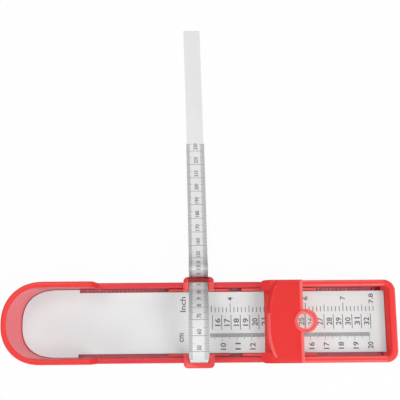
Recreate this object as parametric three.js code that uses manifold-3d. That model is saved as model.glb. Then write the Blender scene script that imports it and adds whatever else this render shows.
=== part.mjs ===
// Foot measuring device: a heel cup and two rails round a scale plate, with a toe stop and a
// girth tape that slide along the plate. Millimetres, +Z up, heel at -X, toes at +X, the tape's
// free end at +Y. The origin is on the underside, in the middle of the length and width.

import * as THREE from 'three';
import { mergeVertices } from 'three/addons/utils/BufferGeometryUtils.js';
import Module from 'manifold-3d';

const wasm = await Module();
wasm.setup();

// Frame: outline and walls
const LENGTH = 260;
const HEEL_X = -LENGTH / 2;
const TOE_X = LENGTH / 2;
const RAIL_HALF_WIDTH = 26.7;
const WALL_THICKNESS = 3.8;
const RIM_ROUNDING = 1.5;
const WALL_FOOT_CHAMFER = 0.8;
const HEEL_CURVE_LENGTH = 27;
const HEEL_CURVE_POWER = 2.2;
const HEEL_OUTER_LEAN = 3.6;
const HEEL_SEAT_INSET = 8.6;
const HEEL_SEAT_CURVE_LENGTH = 25;
const HEEL_SEAT_CURVE_POWER = 2.5;
const TOE_WALL_STEP_OUT = 0.5;
const TOE_CORNER_RADIUS = 7.6;
const END_BAR_WIDTH = 5;

// Frame: heights
const FLOOR_THICKNESS = 1.6;
const HEEL_WALL_TOP = 32;
const RAIL_TOP = 15.2;
const TOE_WALL_RISE = 4;
const HEEL_WALL_LENGTH = 58.6;
const HEEL_STEP_LENGTH = 2.4;
const TOE_WALL_LENGTH = 86;
const TOE_STEP_LENGTH = 3;

// Scale plate and the pedestal under it
const PLATE_THICKNESS = 2;
const PLATE_BOTTOM = 5.2;
const PLATE_EDGE_GAP = 0.3;
const SLOT_WIDTH = 2.4;
const SLOT_FROM_HEEL = 47.2;
const SLOT_END_LENGTH = 2.4;
const PLATE_OVERHANG = 3.9;
const CORED_SKIN = 1.8;
const CORED_RIB = 1.5;
const CORED_SPINE = 4;
const CORED_POCKETS_LONG = 9;
const HEEL_POCKET_LENGTH = 12.5;
const HEEL_POCKET_ROWS = 2;

// Plate bosses, the columns that take them, and the screws from below
const HEEL_SCREW_FROM_SLOT = 14.8;
const SCREWED_POCKETS = [2, 5, 8];
const COLUMN_WIDTH = 10;
const BOSS_RADIUS = 2.6;
const BOSS_HEIGHT = 2.3;
const SCREW_SHANK_RADIUS = 1.1;
const SCREW_SHANK_LENGTH = 4.5;
const SCREW_HEAD_RADIUS = 2.8;
const SCREW_HEAD_HEIGHT = 1.2;
const SCREW_SEAT_HEIGHT = 1.5;
const SCREW_RECESS_WIDTH = 0.7;
const SCREW_RECESS_LENGTH = 3.2;
const SCREW_RECESS_DEPTH = 0.7;
const FIT_GAP = 0.3;

// Click rack in the channel at +Y
const RACK_PITCH = 2.7;
const RACK_HEIGHT = 0.7;
const RACK_END_MARGIN = 3;

// Slider runners, shared by the toe stop and the tape loops
const RUNNER_SIDE_GAP = 0.4;
const RUNNER_TOP = 9.8;
const RUNNER_FLOOR_GAP = 0.6;
const RUNNER_PLATE_GAP = 0.3;
const TOE_REACH = 3.2;

// Toe stop
const STOP_FACE_X = 42.9;
const STOP_LENGTH = 24;
const STOP_WING_HEIGHT = 9.7;
const STOP_SHELL = 2.4;
const STOP_WING_OVERHANG = 0.3;
const STOP_WING_GAP = 0.5;
const STOP_EDGE_ROUNDING = 3;
const STOP_REAR_ROUNDING_SHARE = 0.6;
const STOP_BOW = 6;
const STOP_FLAT_HALF = 5;
const STOP_FOOT_RADIUS = 1;
const STOP_CORNER_RADIUS = 4.5;
const STOP_PLATE_GAP = 0.5;
const STOP_WING_AHEAD = 3.2;
const STOP_WING_SLANT = 6;
const STOP_RUNNER_AHEAD = 15.3;
const STOP_RUNNER_LENGTH = 50.3;

// Click finger, cut out of the toe stop's runner over the rack
const FINGER_LENGTH = 15;
const FINGER_THICKNESS = 1.3;
const FINGER_SLIT = 0.7;
const FINGER_NOSE = 0.3;

// Sight tube and window
const SIGHT_PAST_STOP = 1.2;
const SIGHT_OUTER_RADIUS = 7.7;
const SIGHT_INNER_RADIUS = 5.5;
const SIGHT_COLLAR_HEIGHT = 0.8;
const SIGHT_DEPTH = 9.5;
const SIGHT_LEDGE_RADIUS = 4.7;
const SIGHT_LEDGE_THICKNESS = 0.9;
const SIGHT_NOTCH_WIDTH = 1;
const SIGHT_NOTCH_DEPTH = 1.2;
const WINDOW_THICKNESS = 1.2;

// Tape loops
const CARRIAGE_X = -1.55;
const CARRIAGE_RUNNER_LENGTH = 40.7;
const LOOP_LENGTH = 20.4;
const LOOP_BAR_WIDTH = 3.6;
const LOOP_BAR_INSET = 0.3;
const LOOP_THICKNESS = 3;
const LOOP_RAIL_GAP = 0.4;
const LOOP_CORNER_RADIUS = 3;
const LOOP_EDGE_ROUNDING = 1;

// Girth tape
const TAPE_WIDTH = 12.8;
const TAPE_THICKNESS = 0.4;
const TAPE_SIDE_GAP = 0.35;
const TAPE_FACE_GAP = 0.4;
const TAPE_BAR_GAP = 0.4;
const TAPE_BEND_RADIUS = 1.2;
const TAPE_TAIL_LENGTH = 183;
const TAPE_TAIL_LEAN_DEGREES = 0.74;
const TAPE_TAIL_BOW = 0.0000418;
const TAPE_SCALE_END = 96.8;
const TAPE_TONGUE_STEP = 0.45;
const TAPE_STEP = 2.6;
// Way of the tape over the foot from one buckle to the other, as [share of the half span from the
// middle, height over the rails]
const TAPE_ARCH = [
  [-1, 3.8], [-0.996, 13.4], [-0.955, 22.7], [-0.8, 29.7], [-0.55, 32.6], [-0.27, 33.3], [0, 32.8],
  [0.193, 30.4], [0.356, 25.6], [0.527, 18.1], [0.69, 9.5], [0.83, 2.9], [0.93, 1.1],
];
// Way of the free end from the buckle at +Y down to where it lies flat, as [way past the buckle,
// height over the ground]
const TAPE_TAIL = [
  [1.8, 19], [2.6, 26], [4.2, 29.5], [6.4, 28], [8.2, 22.5], [10.5, 17], [14, 13], [20, 10],
  [28, 7.8], [38, 6], [50, 4.4], [63, 2.6], [76, 0.9], [90, 0.1], [105, 0],
];
const PIN_SPACING = 7;
const PIN_SHANK_RADIUS = 0.7;
const PIN_HEAD_RADIUS = 1.2;
const PIN_HEAD_HEIGHT = 0.7;
const PIN_REACH = 1.3;

// Sizes that follow from the ones above
const RAIL_INNER = RAIL_HALF_WIDTH - WALL_THICKNESS;
const HEEL_CURVE_END_X = HEEL_X + HEEL_CURVE_LENGTH;
const HEEL_SEAT_X = HEEL_X + HEEL_SEAT_INSET;
const END_BAR_INNER_X = TOE_X - END_BAR_WIDTH;
const PLATE_TOE_X = END_BAR_INNER_X - PLATE_EDGE_GAP;
const PLATE_TOP = PLATE_BOTTOM + PLATE_THICKNESS;
const PLATE_HALF_WIDTH = RAIL_INNER - SLOT_WIDTH;
const PEDESTAL_HALF_WIDTH = PLATE_HALF_WIDTH - PLATE_OVERHANG;
const SLOT_HEEL_X = HEEL_X + SLOT_FROM_HEEL;
const POCKET_START_X = SLOT_HEEL_X + CORED_RIB;
const POCKET_PITCH = (END_BAR_INNER_X - CORED_RIB - POCKET_START_X) / CORED_POCKETS_LONG;
const HEEL_STEP_START_X = HEEL_X + HEEL_WALL_LENGTH;
const TOE_STEP_START_X = TOE_X - TOE_WALL_LENGTH;
const TOE_WALL_TOP = RAIL_TOP + TOE_WALL_RISE;
const RUNNER_OUTER = RAIL_INNER - RUNNER_SIDE_GAP;
const RUNNER_INNER = PLATE_HALF_WIDTH + RUNNER_SIDE_GAP;
const RUNNER_BOTTOM = FLOOR_THICKNESS + RACK_HEIGHT + RUNNER_FLOOR_GAP;
const TOE_TOP = PLATE_BOTTOM - RUNNER_PLATE_GAP;
const STOP_WING_BOTTOM = TOE_WALL_TOP + STOP_WING_GAP;
const STOP_TOP = STOP_WING_BOTTOM + STOP_WING_HEIGHT;
const STOP_WING_HALF_WIDTH = RAIL_HALF_WIDTH + STOP_WING_OVERHANG;
const SIGHT_X = STOP_FACE_X + STOP_LENGTH + SIGHT_PAST_STOP;
const SIGHT_TOP = STOP_TOP + SIGHT_COLLAR_HEIGHT;
const SIGHT_BOTTOM = SIGHT_TOP - SIGHT_DEPTH;
const LOOP_TOP = RAIL_TOP + LOOP_RAIL_GAP + LOOP_THICKNESS;
const LOOP_BAR_BOTTOM = RAIL_TOP + TAPE_FACE_GAP + TAPE_THICKNESS + TAPE_BAR_GAP;
const LOOP_BAR_INNER = RAIL_HALF_WIDTH - LOOP_BAR_INSET;
const LOOP_OPENING = TAPE_WIDTH + 2 * TAPE_SIDE_GAP;
const LOOP_BAR_OUTER = LOOP_BAR_INNER + LOOP_BAR_WIDTH;
const FAR = 400;

// Closed meshes to solids and back
function solidOf(geometry) {
  const bare = geometry.clone();
  bare.deleteAttribute('normal');
  bare.deleteAttribute('uv');
  const merged = mergeVertices(bare, 1e-4);
  return new wasm.Manifold(new wasm.Mesh({
    numProp: 3,
    vertProperties: new Float32Array(merged.attributes.position.array),
    triVerts: new Uint32Array(merged.index.array),
  }));
}

function geometryOf(solid) {
  const mesh = solid.getMesh();
  const geometry = new THREE.BufferGeometry();
  geometry.setAttribute('position', new THREE.BufferAttribute(new Float32Array(mesh.vertProperties), 3));
  geometry.setIndex(new THREE.BufferAttribute(new Uint32Array(mesh.triVerts), 1));
  return geometry;
}

function join(first, ...others) {
  return others.reduce((whole, next) => whole.add(next), first);
}

function cut(body, ...cutters) {
  return cutters.reduce((rest, cutter) => rest.subtract(cutter), body);
}

// A box from its lowest to its highest corner
function box(x0, x1, y0, y1, z0, z1) {
  const geometry = new THREE.BoxGeometry(x1 - x0, y1 - y0, z1 - z0);
  geometry.translate((x0 + x1) / 2, (y0 + y1) / 2, (z0 + z1) / 2);
  return solidOf(geometry);
}

// The same box on both sides of the middle
function boxPair(x0, x1, y0, y1, z0, z1) {
  return box(x0, x1, y0, y1, z0, z1).add(box(x0, x1, -y1, -y0, z0, z1));
}

// An upright cylinder
function cylinder(x, y, radius, z0, z1, sides = 40) {
  const geometry = new THREE.CylinderGeometry(radius, radius, z1 - z0, sides);
  geometry.rotateX(Math.PI / 2);
  geometry.translate(x, y, (z0 + z1) / 2);
  return solidOf(geometry);
}

// A plan outline of [x, y] points, extruded upwards
function extrudePlan(points, z0, z1) {
  const shape = new THREE.Shape(points.map(([x, y]) => new THREE.Vector2(x, y)));
  const geometry = new THREE.ExtrudeGeometry(shape, { depth: z1 - z0, bevelEnabled: false });
  geometry.translate(0, 0, z0);
  return solidOf(geometry);
}

// An [x, z] outline, extruded from y0 to y1
function extrudeSide(points, y0, y1) {
  const shape = new THREE.Shape(points.map(([x, z]) => new THREE.Vector2(x, z)));
  const geometry = new THREE.ExtrudeGeometry(shape, { depth: y1 - y0, bevelEnabled: false });
  geometry.rotateX(Math.PI / 2);
  geometry.translate(0, y1, 0);
  return solidOf(geometry);
}

// A [y, z] outline, extruded from x0 to x1
function extrudeAcross(points, x0, x1) {
  const shape = new THREE.Shape(points.map(([y, z]) => new THREE.Vector2(y, z)));
  const geometry = new THREE.ExtrudeGeometry(shape, { depth: x1 - x0, bevelEnabled: false });
  geometry.applyMatrix4(new THREE.Matrix4().makeBasis(
    new THREE.Vector3(0, 1, 0), new THREE.Vector3(0, 0, 1), new THREE.Vector3(1, 0, 0)));
  geometry.translate(x0, 0, 0);
  return solidOf(geometry);
}

// Rings of points joined side by side; the rings themselves are closed, and the row of rings
// either comes back to its start or gets a flat cap at each end.
function skin(rings, comesBack) {
  const count = rings[0].length;
  const positions = rings.flat(2);
  const triangles = [];
  const last = comesBack ? rings.length : rings.length - 1;
  for (let r = 0; r < last; r += 1) {
    const here = r * count;
    const next = ((r + 1) % rings.length) * count;
    for (let k = 0; k < count; k += 1) {
      const k2 = (k + 1) % count;
      triangles.push(here + k, next + k2, next + k, here + k, here + k2, next + k2);
    }
  }
  if (!comesBack) {
    const end = (rings.length - 1) * count;
    for (let k = 1; k < count - 1; k += 1) {
      triangles.push(0, k + 1, k, end, end + k, end + k + 1);
    }
  }
  const geometry = new THREE.BufferGeometry();
  geometry.setAttribute('position', new THREE.BufferAttribute(new Float32Array(positions), 3));
  geometry.setIndex(triangles);
  return geometry;
}

// A share from 0 to 1 that starts and ends softly
function easeBetween(x, start, length) {
  const share = Math.min(1, Math.max(0, (x - start) / length));
  return share * share * (3 - 2 * share);
}

// Corner of a superellipse: angle 0 points to -X, a quarter turn to +Y
function superellipse(centreX, lengthX, lengthY, power, angle) {
  const along = Math.abs(Math.cos(angle)) ** (2 / power);
  const across = Math.abs(Math.sin(angle)) ** (2 / power);
  return [centreX - lengthX * along, lengthY * across];
}

function wallTopAt(x) {
  const afterHeel = easeBetween(x, HEEL_STEP_START_X, HEEL_STEP_LENGTH);
  const atToes = easeBetween(x, TOE_STEP_START_X, TOE_STEP_LENGTH);
  return HEEL_WALL_TOP + (RAIL_TOP - HEEL_WALL_TOP) * afterHeel + (TOE_WALL_TOP - RAIL_TOP) * atToes;
}

function outerHalfWidthAt(x) {
  return RAIL_HALF_WIDTH + TOE_WALL_STEP_OUT * easeBetween(x, TOE_STEP_START_X, TOE_STEP_LENGTH);
}

// Stations round the wall from the heel to the middle of the end bar, on the +Y side.
// Each has its outer top edge, inner top edge, inner edge at the seat and outer foot, in plan.
function wallStations() {
  const stations = [];
  const heelSteps = 16;
  for (let i = 0; i <= heelSteps; i += 1) {
    const angle = (Math.PI / 2) * (i / heelSteps);
    stations.push({
      outer: superellipse(HEEL_CURVE_END_X, HEEL_CURVE_LENGTH, RAIL_HALF_WIDTH, HEEL_CURVE_POWER, angle),
      inner: superellipse(HEEL_CURVE_END_X, HEEL_CURVE_LENGTH - WALL_THICKNESS, RAIL_INNER,
        HEEL_CURVE_POWER, angle),
      seat: superellipse(HEEL_SEAT_X + HEEL_SEAT_CURVE_LENGTH, HEEL_SEAT_CURVE_LENGTH, RAIL_INNER,
        HEEL_SEAT_CURVE_POWER, angle),
      foot: superellipse(HEEL_CURVE_END_X, HEEL_CURVE_LENGTH - HEEL_OUTER_LEAN, RAIL_HALF_WIDTH,
        HEEL_CURVE_POWER, angle),
    });
  }
  const straights = [];
  const stepStations = 9;
  for (let i = 0; i <= stepStations; i += 1) {
    straights.push(HEEL_STEP_START_X + HEEL_STEP_LENGTH * (i / stepStations));
  }
  for (let i = 0; i <= stepStations / 3; i += 1) {
    straights.push(TOE_STEP_START_X + TOE_STEP_LENGTH * (i / (stepStations / 3)));
  }
  for (const x of straights) {
    const half = outerHalfWidthAt(x);
    stations.push({ outer: [x, half], inner: [x, RAIL_INNER], seat: [x, RAIL_INNER], foot: [x, half] });
  }
  const half = outerHalfWidthAt(TOE_X);
  const centre = [TOE_X - TOE_CORNER_RADIUS, half - TOE_CORNER_RADIUS];
  const innerX = END_BAR_INNER_X - centre[0];
  const innerY = RAIL_INNER - centre[1];
  const cornerSteps = 7;
  for (let i = 0; i <= cornerSteps; i += 1) {
    const angle = (Math.PI / 2) * (1 - i / cornerSteps);
    const [towardsToes, towardsSide] = [Math.cos(angle), Math.sin(angle)];
    const outer = [centre[0] + TOE_CORNER_RADIUS * towardsToes, centre[1] + TOE_CORNER_RADIUS * towardsSide];
    const inner = [centre[0] + innerX * towardsToes, centre[1] + innerY * towardsSide];
    stations.push({ outer, inner, seat: inner, foot: outer });
  }
  const middle = [END_BAR_INNER_X, 0];
  stations.push({ outer: [TOE_X, 0], inner: middle, seat: middle, foot: [TOE_X, 0] });
  return stations;
}

function mirrored(station) {
  const flipped = {};
  for (const [edge, [x, y]] of Object.entries(station)) {
    flipped[edge] = [x, -y];
  }
  return flipped;
}

// The whole way round: +Y side from heel to toes, then back on the -Y side
function wallLoop() {
  const side = wallStations();
  const back = side.slice(1, -1).reverse().map(mirrored);
  return [...side, ...back];
}

// Cross-section of the wall at one station: foot, outer face, rounded rim, inner face
function wallSection(station) {
  const top = wallTopAt(station.outer[0]);
  const across = [station.inner[0] - station.outer[0], station.inner[1] - station.outer[1]];
  const width = Math.hypot(...across);
  const at = (share, z) => [
    station.outer[0] + across[0] * (share / width),
    station.outer[1] + across[1] * (share / width),
    z,
  ];
  const section = [];
  const inFoot = at(WALL_FOOT_CHAMFER, 0);
  const lean = [station.foot[0] - station.outer[0], station.foot[1] - station.outer[1]];
  section.push([inFoot[0] + lean[0], inFoot[1] + lean[1], 0]);
  section.push([...station.foot, WALL_FOOT_CHAMFER]);
  const rimSteps = 4;
  for (let i = 0; i <= rimSteps; i += 1) {
    const angle = (Math.PI / 2) * (i / rimSteps);
    section.push(at(RIM_ROUNDING * (1 - Math.cos(angle)), top - RIM_ROUNDING * (1 - Math.sin(angle))));
  }
  for (let i = rimSteps; i >= 0; i -= 1) {
    const angle = (Math.PI / 2) * (i / rimSteps);
    const [inward, down] = [RIM_ROUNDING * (1 - Math.cos(angle)), RIM_ROUNDING * (1 - Math.sin(angle))];
    section.push(at(width - inward, top - down));
  }
  section.push([...station.seat, PLATE_BOTTOM]);
  section.push([...station.seat, 0]);
  return section;
}

// Saw teeth along the channel, steep on the heel side
function rackOutline() {
  const start = SLOT_HEEL_X + RACK_END_MARGIN;
  const teeth = Math.floor((END_BAR_INNER_X - RACK_END_MARGIN - start) / RACK_PITCH);
  const base = FLOOR_THICKNESS;
  const points = [[start, base - FLOOR_THICKNESS / 2]];
  for (let i = 0; i < teeth; i += 1) {
    points.push([start + i * RACK_PITCH, base]);
    points.push([start + (i + 0.4) * RACK_PITCH, base + RACK_HEIGHT]);
  }
  points.push([start + teeth * RACK_PITCH, base]);
  points.push([start + teeth * RACK_PITCH, base - FLOOR_THICKNESS / 2]);
  return points.reverse();
}

// Pockets that core the pedestal and the heel seat from below
function coredPockets() {
  const pockets = [];
  const roof = PLATE_BOTTOM - CORED_SKIN;
  const half = PEDESTAL_HALF_WIDTH - CORED_RIB;
  for (let i = 0; i < CORED_POCKETS_LONG; i += 1) {
    const x0 = POCKET_START_X + i * POCKET_PITCH;
    pockets.push(boxPair(x0, x0 + POCKET_PITCH - CORED_RIB, CORED_SPINE / 2, half, -1, roof));
  }
  for (let i = 0; i < HEEL_POCKET_ROWS; i += 1) {
    const x1 = SLOT_HEEL_X - CORED_RIB - i * (HEEL_POCKET_LENGTH + CORED_RIB);
    pockets.push(boxPair(x1 - HEEL_POCKET_LENGTH, x1, CORED_SPINE / 2, PEDESTAL_HALF_WIDTH, -1, roof));
  }
  return pockets;
}

// One screw in the heel seat, and one in the middle of some of the pockets
function screwStations() {
  const alongPedestal = SCREWED_POCKETS.map((i) => POCKET_START_X + (i + 0.5) * POCKET_PITCH - CORED_RIB / 2);
  return [SLOT_HEEL_X - HEEL_SCREW_FROM_SLOT, ...alongPedestal];
}

function baseFrame() {
  const loop = wallLoop();
  const walls = solidOf(skin(loop.map(wallSection), true));
  const outline = loop.map(({ foot, seat }) => [(foot[0] + seat[0]) / 2, (foot[1] + seat[1]) / 2]).reverse();
  const floor = extrudePlan(outline, 0, FLOOR_THICKNESS);
  const behindSlots = box(-FAR, SLOT_HEEL_X, -FAR, FAR, -1, FAR);
  const heelSeat = extrudePlan(outline, 0, PLATE_BOTTOM).intersect(behindSlots);
  const pedestal = box(SLOT_HEEL_X - 1, END_BAR_INNER_X + 1, -PEDESTAL_HALF_WIDTH, PEDESTAL_HALF_WIDTH,
    0, PLATE_BOTTOM);
  const rack = extrudeSide(rackOutline(), PEDESTAL_HALF_WIDTH - 0.5, RAIL_INNER + 0.5);
  const cored = cut(join(walls, floor, heelSeat, pedestal, rack), ...coredPockets());
  const columnHalf = COLUMN_WIDTH / 2;
  const columns = screwStations().map((x) => box(x - columnHalf, x + columnHalf,
    -columnHalf, columnHalf, 0, PLATE_BOTTOM));
  const headWells = screwStations().map((x) => cylinder(x, 0, SCREW_HEAD_RADIUS + FIT_GAP,
    -1, SCREW_SEAT_HEIGHT));
  const shankHoles = screwStations().map((x) => cylinder(x, 0, SCREW_SHANK_RADIUS + FIT_GAP,
    -1, PLATE_TOP, 24));
  const bossSockets = screwStations().map((x) => cylinder(x, 0, BOSS_RADIUS + FIT_GAP,
    PLATE_BOTTOM - BOSS_HEIGHT - FIT_GAP, PLATE_TOP));
  const slotEnds = boxPair(END_BAR_INNER_X - SLOT_END_LENGTH, END_BAR_INNER_X + 1,
    PLATE_HALF_WIDTH + PLATE_EDGE_GAP, RAIL_INNER + 1, 0, RUNNER_TOP);
  return cut(join(cored, ...columns, slotEnds), ...headWells, ...shankHoles, ...bossSockets);
}

// Plan of the plate: it fills the heel cup, then narrows to leave a slot on both sides
function scalePlate() {
  const points = [];
  const steps = 20;
  const centreX = HEEL_SEAT_X + HEEL_SEAT_CURVE_LENGTH;
  const heelHalf = RAIL_INNER - PLATE_EDGE_GAP;
  for (let i = -steps; i <= steps; i += 1) {
    const angle = (Math.PI / 2) * (i / steps);
    const [x, y] = superellipse(centreX, HEEL_SEAT_CURVE_LENGTH - PLATE_EDGE_GAP, heelHalf,
      HEEL_SEAT_CURVE_POWER, angle);
    points.push([x, i < 0 ? -y : y]);
  }
  points.push([SLOT_HEEL_X, heelHalf], [SLOT_HEEL_X, PLATE_HALF_WIDTH]);
  points.push([PLATE_TOE_X, PLATE_HALF_WIDTH], [PLATE_TOE_X, -PLATE_HALF_WIDTH]);
  points.push([SLOT_HEEL_X, -PLATE_HALF_WIDTH], [SLOT_HEEL_X, -heelHalf]);
  const sheet = extrudePlan(points.reverse(), PLATE_BOTTOM, PLATE_TOP);
  const bosses = screwStations().map((x) => cylinder(x, 0, BOSS_RADIUS,
    PLATE_BOTTOM - BOSS_HEIGHT, PLATE_BOTTOM + 0.5));
  const threads = screwStations().map((x) => cylinder(x, 0, SCREW_SHANK_RADIUS + FIT_GAP, 0,
    SCREW_SEAT_HEIGHT + SCREW_SHANK_LENGTH + FIT_GAP, 24));
  return cut(join(sheet, ...bosses), ...threads);
}

// A pan head with a cross recess, head down, seated at the origin
function screw(shankRadius, shankLength, headRadius, headHeight) {
  const crown = headHeight * 0.45;
  const profile = [
    [0, -headHeight], [headRadius * 0.7, -headHeight], [headRadius * 0.93, -headHeight + crown * 0.5],
    [headRadius, -headHeight + crown], [headRadius, 0], [shankRadius, 0],
    [shankRadius, shankLength - shankRadius], [shankRadius * 0.3, shankLength], [0, shankLength],
  ];
  const turned = new THREE.LatheGeometry(profile.map(([r, z]) => new THREE.Vector2(r, z)), 24);
  turned.rotateX(Math.PI / 2);
  return solidOf(turned);
}

function plateScrew() {
  const half = SCREW_RECESS_LENGTH / 2;
  const wide = SCREW_RECESS_WIDTH / 2;
  const from = -SCREW_HEAD_HEIGHT - 1;
  const to = -SCREW_HEAD_HEIGHT + SCREW_RECESS_DEPTH;
  const body = screw(SCREW_SHANK_RADIUS, SCREW_SHANK_LENGTH, SCREW_HEAD_RADIUS, SCREW_HEAD_HEIGHT);
  return cut(body, box(-half, half, -wide, wide, from, to), box(-wide, wide, -half, half, from, to));
}

// A runner in the slot at +Y, with toes that hook under the plate edge at the given places
function runner(x0, x1, toes) {
  const blade = box(x0, x1, RUNNER_INNER, RUNNER_OUTER, RUNNER_BOTTOM, RUNNER_TOP);
  const hooks = toes.map(([from, to]) => box(from, to, RUNNER_INNER - TOE_REACH, RUNNER_OUTER - 0.5,
    RUNNER_BOTTOM, TOE_TOP));
  return join(blade, ...hooks);
}

// The same solid on the other side of the middle
function otherSide(solid) {
  return solid.mirror([0, 1, 0]);
}

// How far the front of the toe stop bows back: not at all in the middle nor at the plate, and
// fully at the sides of its top
function bowBack(y, z) {
  const low = PLATE_TOP + STOP_PLATE_GAP;
  const high = STOP_TOP - STOP_EDGE_ROUNDING;
  const across = Math.max(0, y - STOP_FLAT_HALF) / (STOP_WING_HALF_WIDTH - STOP_FLAT_HALF);
  return STOP_BOW * Math.min(1, (z - low) / (high - low)) * across ** 2;
}

// Plan outline, at one height, of a block whose front at low x bows back to two rounded corners
function bowedPlan(x0, x1, half, radius, inset, z) {
  const rearX = x1 - inset * STOP_REAR_ROUNDING_SHARE;
  const round = Math.max(radius - inset, 0.4);
  const flat = half - inset - round;
  const side = [];
  const steps = 6;
  for (let i = 0; i <= steps; i += 1) {
    const angle = (Math.PI / 2) * (i / steps);
    const y = flat + round * Math.cos(angle);
    side.push([x0 + inset + round * (1 - Math.sin(angle)) + bowBack(y, z), y]);
  }
  for (let i = 1; i <= steps; i += 1) {
    const y = STOP_FLAT_HALF + (flat - STOP_FLAT_HALF) * (1 - i / steps);
    side.push([x0 + inset + bowBack(y, z), y]);
  }
  const otherHalf = [...side].reverse().map(([x, y]) => [x, -y]);
  return [[rearX, inset - half], [rearX, half - inset], ...side, ...otherHalf];
}

// A block with a bowed front and a rounded top edge, lofted upwards
function crownedBlock(x0, x1, half, radius, z0, z1, rounding) {
  const layers = [];
  const risers = 3;
  for (let i = 0; i < risers; i += 1) {
    layers.push([0, z0 + (z1 - rounding - z0) * (i / risers)]);
  }
  const steps = 5;
  for (let i = 0; i <= steps; i += 1) {
    const angle = (Math.PI / 2) * (i / steps);
    layers.push([rounding * (1 - Math.cos(angle)), z1 - rounding * (1 - Math.sin(angle))]);
  }
  const ringAt = ([inset, z]) => bowedPlan(x0, x1, half, radius, inset, z).map(([x, y]) => [x, y, z]);
  return solidOf(skin(layers.map(ringAt), false));
}

// Spring finger over the rack: slits free it from the runner, and a nose points at the teeth
function clickFinger(body) {
  const tip = STOP_FACE_X + STOP_LENGTH + FINGER_SLIT;
  const root = tip - FINGER_LENGTH;
  const above = box(root, tip, 0, FAR, RUNNER_BOTTOM + FINGER_THICKNESS,
    RUNNER_BOTTOM + FINGER_THICKNESS + FINGER_SLIT);
  const ahead = box(tip - FINGER_SLIT, tip, 0, FAR, -1, RUNNER_BOTTOM + FINGER_THICKNESS + FINGER_SLIT);
  const noseX = tip - FINGER_SLIT - RACK_PITCH;
  const nose = extrudeSide([
    [noseX, RUNNER_BOTTOM + 0.2], [noseX + RACK_PITCH * 0.4, RUNNER_BOTTOM - FINGER_NOSE],
    [noseX + RACK_PITCH, RUNNER_BOTTOM + 0.2],
  ], RUNNER_INNER, RUNNER_OUTER);
  return join(cut(body, above, ahead), nose);
}

function toeStop() {
  const x0 = STOP_FACE_X;
  const x1 = STOP_FACE_X + STOP_LENGTH;
  const bodyBottom = PLATE_TOP + STOP_PLATE_GAP;
  const wings = crownedBlock(x0, x1, STOP_WING_HALF_WIDTH, STOP_CORNER_RADIUS, STOP_WING_BOTTOM, STOP_TOP,
    STOP_EDGE_ROUNDING);
  const between = crownedBlock(x0, x1, RUNNER_OUTER, STOP_FOOT_RADIUS, bodyBottom, STOP_TOP,
    STOP_EDGE_ROUNDING);
  const skirtTop = STOP_TOP - STOP_EDGE_ROUNDING;
  const skirt = extrudeSide([
    [x0 - STOP_WING_AHEAD, STOP_WING_BOTTOM], [x1 - 1, STOP_WING_BOTTOM], [x1 - 1, skirtTop],
    [x0 - STOP_WING_AHEAD + STOP_WING_SLANT, skirtTop], [x0 - STOP_WING_AHEAD, STOP_WING_BOTTOM + STOP_SHELL],
  ], RUNNER_OUTER - STOP_SHELL, STOP_WING_HALF_WIDTH);
  const hollowHalf = RUNNER_OUTER - STOP_SHELL;
  const inside = crownedBlock(x0 + STOP_SHELL, x1 + 1, hollowHalf, STOP_FOOT_RADIUS, bodyBottom - 1,
    STOP_TOP - STOP_SHELL, STOP_FOOT_RADIUS);
  const hollow = cut(join(wings, between, skirt, otherSide(skirt)), inside);
  const sight = cylinder(SIGHT_X, 0, SIGHT_OUTER_RADIUS, SIGHT_BOTTOM, SIGHT_TOP, 48);
  const bore = cylinder(SIGHT_X, 0, SIGHT_INNER_RADIUS, SIGHT_BOTTOM + SIGHT_LEDGE_THICKNESS,
    SIGHT_TOP + 1, 48);
  const ledgeBore = cylinder(SIGHT_X, 0, SIGHT_LEDGE_RADIUS, 0, STOP_TOP, 48);
  const notch = SIGHT_NOTCH_WIDTH / 2;
  const notches = box(SIGHT_X - notch, SIGHT_X + notch, -SIGHT_OUTER_RADIUS - 1, SIGHT_OUTER_RADIUS + 1,
    SIGHT_TOP - SIGHT_NOTCH_DEPTH, SIGHT_TOP + 1);
  const runnerX0 = x0 - STOP_RUNNER_AHEAD;
  const runnerX1 = runnerX0 + STOP_RUNNER_LENGTH;
  const fingerRoot = x1 - FINGER_LENGTH - 2;
  const clicking = clickFinger(runner(runnerX0, runnerX1, [[runnerX0, fingerRoot], [x1 + 2, runnerX1]]));
  const plain = otherSide(runner(runnerX0, runnerX1, [[runnerX0, runnerX1]]));
  const links = boxPair(x0, x1, RUNNER_INNER, RUNNER_OUTER, RUNNER_TOP - 0.5, bodyBottom + 4);
  return cut(join(hollow, sight, clicking, plain, links), bore, ledgeBore, notches);
}

function sightWindow() {
  const seat = SIGHT_BOTTOM + SIGHT_LEDGE_THICKNESS;
  return cylinder(SIGHT_X, 0, SIGHT_INNER_RADIUS - FIT_GAP, seat, seat + WINDOW_THICKNESS, 48);
}

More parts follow.
